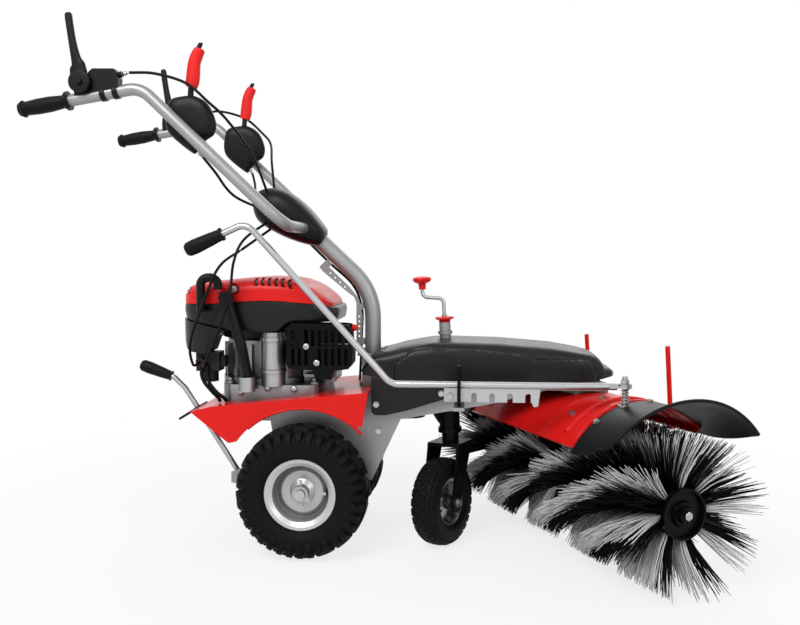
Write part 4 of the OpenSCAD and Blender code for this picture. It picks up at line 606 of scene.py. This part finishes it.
def shroud_surface():
    """The rounded plan carried down from the seam to a lower edge that steps with the length,
    then turned in under: wall z = seam(x) + (edge(x) - seam(x)) * t. The top closes in rings."""
    turn = np.linspace(0, 2 * np.pi, 240, endpoint=False)[None, :]
    c, s = rounded(turn, 4.2)
    edge_x = [-340, -326, -260, -196, -140, -88, -66, -50, -36, 30, 110]
    edge_z = [592, 588, 573, 561, 558, 557, 560, 574, 580.6, 580.6, 580.6]
    t = np.array([0] * 6 + [0, 0.02, 0.1, 0.3, 0.5, 0.7, 0.85, 0.95, 1.0, 1.0, 1.0, 1.0])[:, None]
    grow = np.array([0.02, 0.3, 0.6, 0.8, 0.9, 0.96, 0.985, 0.998, 1.004, 1.008, 1.006, 1.0, 0.995, 0.988,
                     0.975, 0.93, 0.6, 0.58])[:, None]
    sink = np.array([0] * 15 + [1, 1, 28])[:, None]
    x, y = ENGINE_MID + 200 * grow * c, 151.5 * grow * s
    seam = split_line(x) - 0.4
    z = np.maximum(seam + (np.interp(x, edge_x, edge_z) - seam) * t - sink, 530.4)
    return at_grid(x, y, z), loft_faces(18, 240, clockwise=True)


def at_grid(x, y, z):
    """Points in metres from arrays in millimetres measured under the drive axle."""
    x, y, z = np.broadcast_arrays(x, y, z)
    return np.stack([x * MM + AXLE_X, y * MM, z * MM], -1)


class SWEEPER_OT_controls(bpy.types.Operator):
    """Mould the console, the hand levers and the red control paddles"""
    bl_idname = "sweeper.controls"
    bl_label = "Handle controls"

    def execute(self, context):
        routes = [np.array(r, float) for r in CABLES]
        routes += [r * [1, -1, 1] for r in routes[:2]]
        tubes = [swept_tube(smooth_path(at_grid(*r.T), 12), CABLE_RADIUS, 12) for r in routes]
        piece = mesh_piece("cable_sleeves", *joined(tubes), finished("rubber"), "chassis", "black_plastic")
        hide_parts("control_cables")
        piece = moulding("console_mould", console_surface())
        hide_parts("console_shell")
        piece = moulding("lever_pods", joined([pod_surface(side) for side in (-1, 1)]))
        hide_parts("lever_quadrants")
        for side, name in ((-1, "right"), (1, "left")):
            body = name + "_control"
            paddle = blade(PADDLE, CONTROL_PIN, CONTROL_LEAN, side * CONTROL_Y, 10.0)
            piece = mesh_piece(name + "_paddle", *paddle, finished("red_plastic"), body, "red_plastic")
            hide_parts("control_lever_" + name)
            moulding(name + "_stalk", blade(STALK, CONTROL_PIN, CONTROL_LEAN, side * CONTROL_Y, 3.0), body)
            body = name + "_hand_lever"
            lever = blade(HAND_LEVER, LEVER_PIN, LEVER_LEAN, side * LEVER_Y, 6.5)
            piece = moulding(name + "_lever_blade", lever, body)
            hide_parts("hand_lever_" + name)
            moulding(name + "_lever_hub", hub(LEVER_PIN, side * LEVER_Y, 26.0, HUB_HALF), body)
            screw_place = at(LEVER_PIN[0], side * (LEVER_Y + HUB_HALF), LEVER_PIN[1])
            fitting(name + "_lever_screw", turned(np.array(DOME) * 1.1, screw_place, (0, side, 0)), body)
            fitting(name + "_lever_adjuster", turned(BARREL, at(-400, side * 285, 1162.6), (0.978, 0, 0.208)))
            arm = smooth_path([at(-246, side * y, 1030) for y in (226, 250, 286)], 4)
            moulding(name + "_pod_arm", swept_tube(arm, 12 * MM, 20), crease=40)
            adjuster = turned(BARREL, at(-233, side * CONTROL_Y, 1000), (0.45, 0, -0.893))
            fitting(name + "_cable_adjuster", adjuster)
        return {"FINISHED"}


CONTROL_PIN = (-249.0, 1062.0)
CONTROL_Y = 240.0
CONTROL_LEAN = 3.0
LEVER_PIN = (-485.0, 1145.0)
LEVER_Y = 305.0
LEVER_LEAN = -10.0
HUB_HALF = 7.0
CABLE_RADIUS = 3.4 * MM
# Each row: place across and up from the pin, and half the breadth there
PADDLE = [(0, 77, 11), (1, 82, 14.5), (3.5, 98, 16), (4.5, 118, 15.5), (6, 136, 14.5), (11, 152, 14),
          (17, 164, 12.5), (19, 169, 10)]
STALK = [(0, 4, 8), (0, 40, 7), (0, 78, 7), (8, 150, 6), (18, 177, 5.5), (19, 182, 5)]
HAND_LEVER = [(0, 8, 20), (2, 26, 20), (4, 38, 16), (2, 52, 11.5), (1, 80, 9.2), (1.5, 108, 8.4),
              (2.5, 135, 8.4), (3.5, 150, 8.2), (4, 158, 6)]
# Side outline of a control lever's pod
POD = [(-293, 1113), (-267, 1120), (-235, 1120), (-204, 1100), (-187, 1061), (-191, 1032), (-212, 1016),
       (-226, 1000), (-234, 989), (-246, 989), (-294, 1028), (-307, 1055), (-304, 1092)]
# Cable sleeves: hand lever and control lever to the console, then to engine, throttle and gear case
CABLES = [[(-376, -285, 1167.6), (-322, -268, 1168), (-250, -264, 1146), (-200, -260, 1104),
           (-165, -222, 1066), (-136, -110, 1000), (-112, -40, 905)],
          [(-224, -240, 984), (-206, -196, 950), (-180, -120, 896), (-118, -44, 862)],
          [(-96, -24, 846), (-160, -90, 790), (-168, -170, 732), (-170, -206, 650), (-200, -206, 560),
           (-246, -170, 476), (-256, -112.6, 470)],
          [(-84, -4, 836), (-168, -70, 766), (-196, -192, 722), (-228, -204, 650), (-270, -200, 540),
           (-276, -166, 476), (-272, -118, 478)],
          [(-40, 26, 802), (34, 36, 728), (98, 36, 668), (122, 36, 606), (122, 38, 545), (116, 60, 470),
           (112, 66, 407.8)]]


def pod_surface(side):
    """A lever's pod: its outline drawn in towards both flanks as cos(f)^(1/3), its breadth as sin(f)."""
    outline = closed_curve(POD, 8)
    middle = outline.mean(axis=0)
    f = np.linspace(-1.54, 1.54, 28)[:, None]
    size = np.cos(f) ** (1 / 3)
    x = middle[0] + (outline[:, 0] - middle[0]) * size
    z = middle[1] + (outline[:, 1] - middle[1]) * size
    return at_grid(x, side * CONTROL_Y + 16 * np.sin(f), z), loft_faces(28, len(outline))


def console_surface():
    """A smooth side outline drawn in towards both flanks: the outline's size at height f across
    the shell is cos(f)^(2/3), and the breadth is sin(f)^(2/3)."""
    outline = closed_curve([(-158, 892), (-138, 916), (-100, 922), (-56, 908), (-6, 866), (30, 818),
                            (32, 792), (14, 772), (-34, 780), (-94, 804), (-146, 840)], 10)
    middle = np.array([-64.0, 846.0])
    f = np.linspace(-1.5, 1.5, 44)[:, None]
    size = np.cos(f) ** (2 / 3)
    y = 66 * np.sign(np.sin(f)) * np.abs(np.sin(f)) ** (2 / 3)
    x = middle[0] + (outline[:, 0] - middle[0]) * size
    z = middle[1] + (outline[:, 1] - middle[1]) * size
    return at_grid(x, y, z), loft_faces(44, len(outline))


def blade(stations, pin, lean, y, thick):
    """A moulded lever: rounded sections carried along a curve from the pin, leaning by an angle.
    A section has the station's half breadth along the curve's normal and half the thickness across."""
    line = smooth_path([(a, 0, b) for a, b, _ in stations], 6)
    breadth = smooth_path([(w, 0, 0) for _, _, w in stations], 6)[:, 0]
    n = len(line)
    ends = np.minimum(np.arange(n), np.arange(n)[::-1]) / 3.0
    soft = np.sqrt(np.clip(1 - (1 - np.clip(ends, 0.06, 1)) ** 2, 0.1, 1))
    way = np.gradient(line, axis=0)
    way /= np.linalg.norm(way, axis=1, keepdims=True)
    turn = np.linspace(0, 2 * np.pi, 28, endpoint=False)
    c, s = rounded(turn, 3.0)
    x = line[:, :1] + way[:, 2:] * breadth[:, None] * c * (0.6 + 0.4 * soft[:, None])
    z = line[:, 2:] - way[:, :1] * breadth[:, None] * c * (0.6 + 0.4 * soft[:, None])
    across = y + thick * s * soft[:, None]
    a = math.radians(lean)
    return (at_grid(pin[0] + x * math.cos(a) + z * math.sin(a), across,
                    pin[1] - x * math.sin(a) + z * math.cos(a)), loft_faces(n, 28))


def hub(pin, y, radius, half):
    """A turned boss across the machine with rounded edges: r(f) = radius - 3 + 3 cos(f)."""
    f = np.linspace(-np.pi / 2, np.pi / 2, 13)
    r = np.concatenate([[radius * 0.3], radius - 3 + 3 * np.cos(f), [radius * 0.3]])[:, None]
    low, high = -half + 3 + 3 * np.sin(f[:7]), half - 3 + 3 * np.sin(f[7:])
    h = np.concatenate([[-half], low, high, [half]])[:, None]
    turn = np.linspace(0, 2 * np.pi, 48, endpoint=False)
    x, z = pin[0] + r * np.cos(turn), pin[1] + r * np.sin(turn)
    return at_grid(x, y + h, z), loft_faces(len(r), 48, clockwise=True)


class SWEEPER_OT_tyres(bpy.types.Operator):
    """Mould the tyres with their tread blocks"""
    bl_idname = "sweeper.tyres"
    bl_label = "Tyres"

    def execute(self, context):
        look = finished("tyre")
        pair = [tyre_surface(at(0, side * WHEEL_Y, WHEEL_Z), np.array([0.0, side, 0.0]), DRIVE_TYRE, knobbly,
                             576) for side in (-1, 1)]
        piece = mesh_piece("drive_tyres", *joined(pair), look, "wheels", "tyre_black", crease=32)
        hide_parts("wheel_tyres")
        axis = np.array(JOINTS["castor_roll"]["axis"], float)
        castor = tyre_surface(joint_place("castor_roll"), axis, CASTOR_TYRE, bricked, 468)
        piece = mesh_piece("castor_tyre_mould", *castor, look, "castor_wheel", "tyre_black", crease=32)
        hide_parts("castor_tyre")
        return {"FINISHED"}


# Wheel centres across and up, and each tyre's crown radius, half breadth and bead radius
WHEEL_Y = 168
WHEEL_Z = 165
DRIVE_TYRE = (156.0, 63.5, 84.0)
CASTOR_TYRE = (109.0, 35.0, 57.0)


def knobbly(f, turn):
    """Height of the drive tyre's blocks: two staggered rows on the crown, long and short ones on
    the shoulders."""
    deg, side = np.degrees(np.abs(f)), np.sign(f)
    u = turn * 36 / (2 * np.pi) + 0.5 * (side > 0)
    odd = np.floor(u) % 2
    shoulder = step(0.31 - np.abs(u % 1 - 0.5), 0.1) * step(deg - 34, 5) * step(68 + 16 * odd - deg, 6)
    v = turn * 18 / (2 * np.pi) + 0.25 * side + deg / 90
    crown = step(0.33 - np.abs(v % 1 - 0.5), 0.07) * step(28 - deg, 5) * step(deg - 4, 4)
    return 9.0 * np.maximum(crown, shoulder * (1 - 0.5 * step(deg - 60, 24)))


def bricked(f, turn):
    """Height of the castor tyre's blocks: rows laid like bricks, slanted a little."""
    deg = np.degrees(f)
    row = np.floor(deg / 19.0)
    u = turn * 26 / (2 * np.pi) + 0.5 * (row % 2) + 0.006 * deg
    return 3.0 * (step(0.4 - np.abs(u % 1 - 0.5), 0.08) * step(8.3 - np.abs(deg - 19 * (row + 0.5)), 2.0)
                  * step(57 - np.abs(deg), 4))


def tyre_surface(place, axis, size, pattern, rows):
    """A tyre turned about its axle. The section is a rounded loop, r = middle + tall * C(f) and
    w = half * S(f), closed behind the rim; the tread stands out along the loop's own
    direction by the height that the pattern gives."""
    crown, half, bead = size
    tall = (crown - bead) / 1.9
    f = np.radians(np.linspace(-152, 152, 60))[None, :]
    turn = np.linspace(0, 2 * np.pi, rows, endpoint=False)[:, None]
    c, s = rounded(f, 2.7)
    grow = pattern(f, turn)
    norm = np.hypot(c * half, s * tall)
    r = (crown - tall + tall * c + grow * c * half / norm) * MM
    w = (half * s + grow * s * tall / norm) * MM
    first, second = across_axis(axis)
    ring = np.cos(turn)[..., None] * first + np.sin(turn)[..., None] * second
    points = place + w[..., None] * axis + r[..., None] * ring
    return points, [grid_faces(rows, 60, close_rows=True, close_columns=True)[:, ::-1]]


class SWEEPER_OT_cover(bpy.types.Operator):
    """Mould the belt cover with its raised side panels"""
    bl_idname = "sweeper.cover"
    bl_label = "Belt cover"

    def execute(self, context):
        piece = mesh_piece("cover_mould", *cover_surface(), finished("black_plastic"), "chassis",
                           "black_plastic", crease=38)
        wall = piece.modifiers.new("wall", "SOLIDIFY")
        wall.thickness = 0.003
        wall.offset = 1
        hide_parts("belt_cover")
        return {"FINISHED"}


def cover_surface():
    """Arched sections along the machine: y = half(x) * C(f), z = foot(x) + (crown(x) - foot(x)) * S(f),
    with C and S a cosine and sine pushed out towards a rectangle. A raised panel swells both sides
    below its own edge line, and the faces round the column's post are left open."""
    way = np.concatenate([np.linspace(140, 260, 40), np.linspace(263, 690, 110), np.linspace(693, 773, 50)])
    crown_x = [140, 143, 152, 169, 211, 240, 286, 316, 361, 485, 616, 676, 708, 726, 738, 746, 764, 773]
    crown_z = [452, 468, 482, 495, 505, 514, 523, 528, 529, 526, 516, 506, 499, 492, 480, 464, 458, 450]
    crown = np.interp(way, crown_x, crown_z)
    foot = np.interp(way, [140, 412, 730, 773], [446, 415, 437, 444])
    half = np.interp(way, [140, 200, 560, 690, 740, 768, 773], [102, 110, 110, 97, 76, 52, 22])
    soft = np.hanning(9) / np.hanning(9).sum()
    crown, half = (np.convolve(np.pad(v, 4, mode="edge"), soft, mode="valid") for v in (crown, half))
    f = np.linspace(0, np.pi, 191)
    c, s = rounded(f, 6.5)
    x, y = np.broadcast_to(way[:, None], (len(way), 191)), half[:, None] * c
    z = foot[:, None] + (crown - foot)[:, None] * s
    line = np.interp(way, [224, 236, 258, 274, 300, 420, 540, 560, 576, 680, 704, 714, 720],
                     [474, 481, 500, 510, 513, 510, 499, 491, 487, 486, 482, 470, 452])[:, None]
    panel = step(line - z, 3.0) * step(x - 224, 4.0) * step(722 - x, 4.0) * step(np.abs(c) - 0.5, 0.3)
    y = y + np.sign(c) * 6.5 * panel
    faces = grid_faces(len(way), 191)
    middle_x = x.reshape(-1)[faces].mean(axis=1)
    middle_y = y.reshape(-1)[faces].mean(axis=1)
    faces = faces[(middle_x > 192) | (np.abs(middle_y) > 41)]
    return at_grid(x, y, z), [faces]


class SWEEPER_OT_flaps(bpy.types.Operator):
    """Loft the rubber end flaps of the hood, and press its outer beads"""
    bl_idname = "sweeper.flaps"
    bl_label = "Hood flaps"

    def execute(self, context):
        piece = mesh_piece("flap_sheets", *flap_surface(), finished("flap_rubber"), "head", "grip_rubber")
        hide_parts("end_flaps")
        a = np.radians(np.linspace(48, 140, 60))
        radius = BEAD_SIZE * np.sqrt(np.sin(np.linspace(0.02, np.pi - 0.02, 60)))
        for side, name in ((-1, "near"), (1, "far")):
            arc = head_point(BEAD_ARC * np.cos(a), np.full(60, side * BEAD_ALONG), BEAD_ARC * np.sin(a))
            bead = swept_tube(arc, radius, 20)
            mesh_piece(name + "_bead", *bead, finished("red_paint"), "head", "red_paint")
        return {"FINISHED"}


# The hood's beads, in metres: radius of the arc, place along the brush, and the bead's own radius
BEAD_ARC = 0.217
BEAD_ALONG = 0.236
BEAD_SIZE = 0.008


def flap_surface():
    """A rubber sheet bent round the brush's axis: at angle a and share v of the way out, with
    g = ((v - 0.2) / 0.8)^2, the radius grows by 8 g and the sheet lifts by 20 g. The skins join
    over a thicker rounded lip."""
    a = np.radians(np.linspace(148, 38, 131))[:, None]
    corner = np.clip((np.radians(148.5) - a) / np.radians(11), 0, 1)
    reach = 300 + (420 - 300) * (1 - (1 - corner) ** 2.4) ** (1 / 2.4) * (0.6 + 0.4 * np.sin(np.minimum(
        np.pi / 2, (np.radians(150) - a) * 1.1)))
    out = np.linspace(0, 1, 26)
    lip = np.linspace(0, np.pi, 9)[1:-1]
    v = np.concatenate([out, np.ones(7), out[::-1]])[None, :]
    over = np.concatenate([np.zeros(26), 3.5 * np.sin(lip), np.zeros(26)])[None, :]
    skin = np.concatenate([np.full(26, 5.0), 2.5 + 2.5 * np.cos(lip), np.zeros(26)])[None, :]
    skin = skin + 1.6 * step(v - 0.955, 0.03) * np.sign(skin - 2.5)
    g = (np.maximum(0, v - 0.2) / 0.8) ** 2
    place = 253 + v * (reach - 253) + over
    r = 218.3 + skin + 8 * g
    forward, height = 15 * g + r * np.cos(a), 20 * g + r * np.sin(a)
    near = head_point(forward * MM, -place * MM, height * MM)
    far = head_point(forward * MM, place * MM, height * MM)
    rows, columns = place.shape
    return joined([(near, loft_faces(rows, columns)), (far, loft_faces(rows, columns, clockwise=True))])


FLOOR_HALF = 9.0
ROOM_LIGHT = 0.42
# Each lamp: its place, its breadth, its power, and the point it looks at
LAMPS = {
    "key_light": ((-1.2, -2.6, 3.0), 1.8, 82.0, (0.0, 0.0, 0.5)),
    "front_light": ((2.2, -2.4, 1.6), 1.6, 15.0, (0.3, 0.0, 0.4)),
    "back_light": ((0.6, 2.6, 2.6), 2.4, 30.0, (0.0, 0.0, 0.5)),
}
# The photograph's view: the eye in millimetres, the lens, and how far it looks up and round
EYE = (411.2, -2234.4, 751.3)
LENS = 38.53
TILT, PAN = 86.061, 4.707


class SWEEPER_OT_stage(bpy.types.Operator):
    """Set the pale floor, the soft lights and the camera"""
    bl_idname = "sweeper.stage"
    bl_label = "Stage"

    def execute(self, context):
        scene = context.scene
        scene.view_settings.view_transform = "Standard"
        floor = bpy.data.meshes.new("floor")
        corners = [(FLOOR_HALF * a, FLOOR_HALF * b, 0) for a, b in ((-1, -1), (1, -1), (1, 1), (-1, 1))]
        floor.from_pydata(corners, [], [(0, 1, 2, 3)])
        floor.materials.append(pale_ground())
        ground = bpy.data.objects.new("floor", floor)
        scene.collection.objects.link(ground)
        scene.world = pale_world()
        for name, (place, size, power, aim) in LAMPS.items():
            lamp = bpy.data.lights.new(name, "AREA")
            lamp.size = size
            lamp.energy = power
            holder = bpy.data.objects.new(name, lamp)
            holder.location = place
            way = np.array(aim) - np.array(place)
            tilt = math.acos(-way[2] / np.linalg.norm(way))
            holder.rotation_euler = (tilt, 0, math.atan2(way[1], way[0]) - math.pi / 2)
            scene.collection.objects.link(holder)
        lens = bpy.data.cameras.new("photo_view")
        lens.lens = LENS
        lens.sensor_width = 36.0
        camera = bpy.data.objects.new("photo_view", lens)
        camera.location = tuple(at(*EYE))
        camera.rotation_euler = (math.radians(TILT), 0, math.radians(PAN))
        scene.collection.objects.link(camera)
        scene.camera = camera
        return {"FINISHED"}


def seen_white(tree):
    """A node that masks the rays that see the backdrop: straight, reflected or through glass."""
    rays = node(tree, "LightPath")
    first = node(tree, "Math", operation="MAXIMUM")
    both = node(tree, "Math", operation="MAXIMUM")
    wire(tree, (rays, "Is Camera Ray", first, 0), (rays, "Is Glossy Ray", first, 1), (first, 0, both, 0),
         (rays, "Is Transmission Ray", both, 1))
    return both


def pale_world():
    """White to look at, and a soft even light."""
    world = bpy.data.worlds.new("pale_room")
    world.use_nodes = True
    tree = world.node_tree
    back = tree.nodes["Background"]
    back.inputs["Color"].default_value = (1, 1, 1, 1)
    back.inputs["Strength"].default_value = ROOM_LIGHT
    white = node(tree, "Background", {"Color": (1, 1, 1, 1), "Strength": 1.0})
    mix = node(tree, "MixShader")
    wire(tree, (seen_white(tree), 0, mix, "Fac"), (back, 0, mix, 1), (white, 0, mix, 2),
         (mix, 0, tree.nodes["World Output"], "Surface"))
    return world


def pale_ground():
    """A white floor that keeps a soft shadow near the machine and melts into the backdrop further out."""
    material = bpy.data.materials.new("pale_ground")
    material.use_nodes = True
    tree = material.node_tree
    shader = tree.nodes["Principled BSDF"]
    shader.inputs["Base Color"].default_value = (0.92, 0.92, 0.92, 1)
    shader.inputs["Roughness"].default_value = 0.9
    shader.inputs["Specular IOR Level"].default_value = 0.1
    white = node(tree, "Emission", {"Strength": 1.0})
    place = node(tree, "TexCoord")
    far = node(tree, "VectorMath", operation="LENGTH")
    fade = node(tree, "MapRange", {"From Min": 0.6, "From Max": 1.9, "To Min": 0.78},
                interpolation_type="SMOOTHSTEP")
    share = node(tree, "Math", operation="MULTIPLY")
    mix = node(tree, "MixShader")
    wire(tree, (place, "Object", far, 0), (far, "Value", fade, "Value"), (seen_white(tree), 0, share, 0),
         (fade, "Result", share, 1), (share, 0, mix, "Fac"), (shader, 0, mix, 1), (white, 0, mix, 2),
         (mix, 0, tree.nodes["Material Output"], "Surface"))
    return material


class SWEEPER_PT_panel(bpy.types.Panel):
    """Lists the sweeper's pieces and settings"""
    bl_label = "Sweeper"
    bl_idname = "SWEEPER_PT_panel"
    bl_space_type = "VIEW_3D"
    bl_region_type = "UI"
    bl_category = "Sweeper"

    def draw(self, context):
        for operator in OPERATORS:
            self.layout.operator(operator.bl_idname)
        for settings in (context.scene.sweeper_colours, context.scene.sweeper_sizes):
            for name in settings.__annotations__:
                self.layout.prop(settings, name)


OPERATORS = (SWEEPER_OT_finishes, SWEEPER_OT_bristles, SWEEPER_OT_engine, SWEEPER_OT_controls,
             SWEEPER_OT_tyres, SWEEPER_OT_cover, SWEEPER_OT_flaps, SWEEPER_OT_stage)
CLASSES = (SweeperColours, SweeperSizes) + OPERATORS + (SWEEPER_PT_panel,)


def register():
    for cls in CLASSES:
        bpy.utils.register_class(cls)
    bpy.types.Scene.sweeper_colours = bpy.props.PointerProperty(type=SweeperColours)
    bpy.types.Scene.sweeper_sizes = bpy.props.PointerProperty(type=SweeperSizes)


def unregister():
    del bpy.types.Scene.sweeper_sizes
    del bpy.types.Scene.sweeper_colours
    for cls in reversed(CLASSES):
        bpy.utils.unregister_class(cls)


def main():
    register()
    bpy.ops.sweeper.finishes()
    bpy.ops.sweeper.bristles()
    bpy.ops.sweeper.engine()
    bpy.ops.sweeper.controls()
    bpy.ops.sweeper.tyres()
    bpy.ops.sweeper.cover()
    bpy.ops.sweeper.flaps()
    bpy.ops.sweeper.stage()


if __name__ == "__main__":
    main()
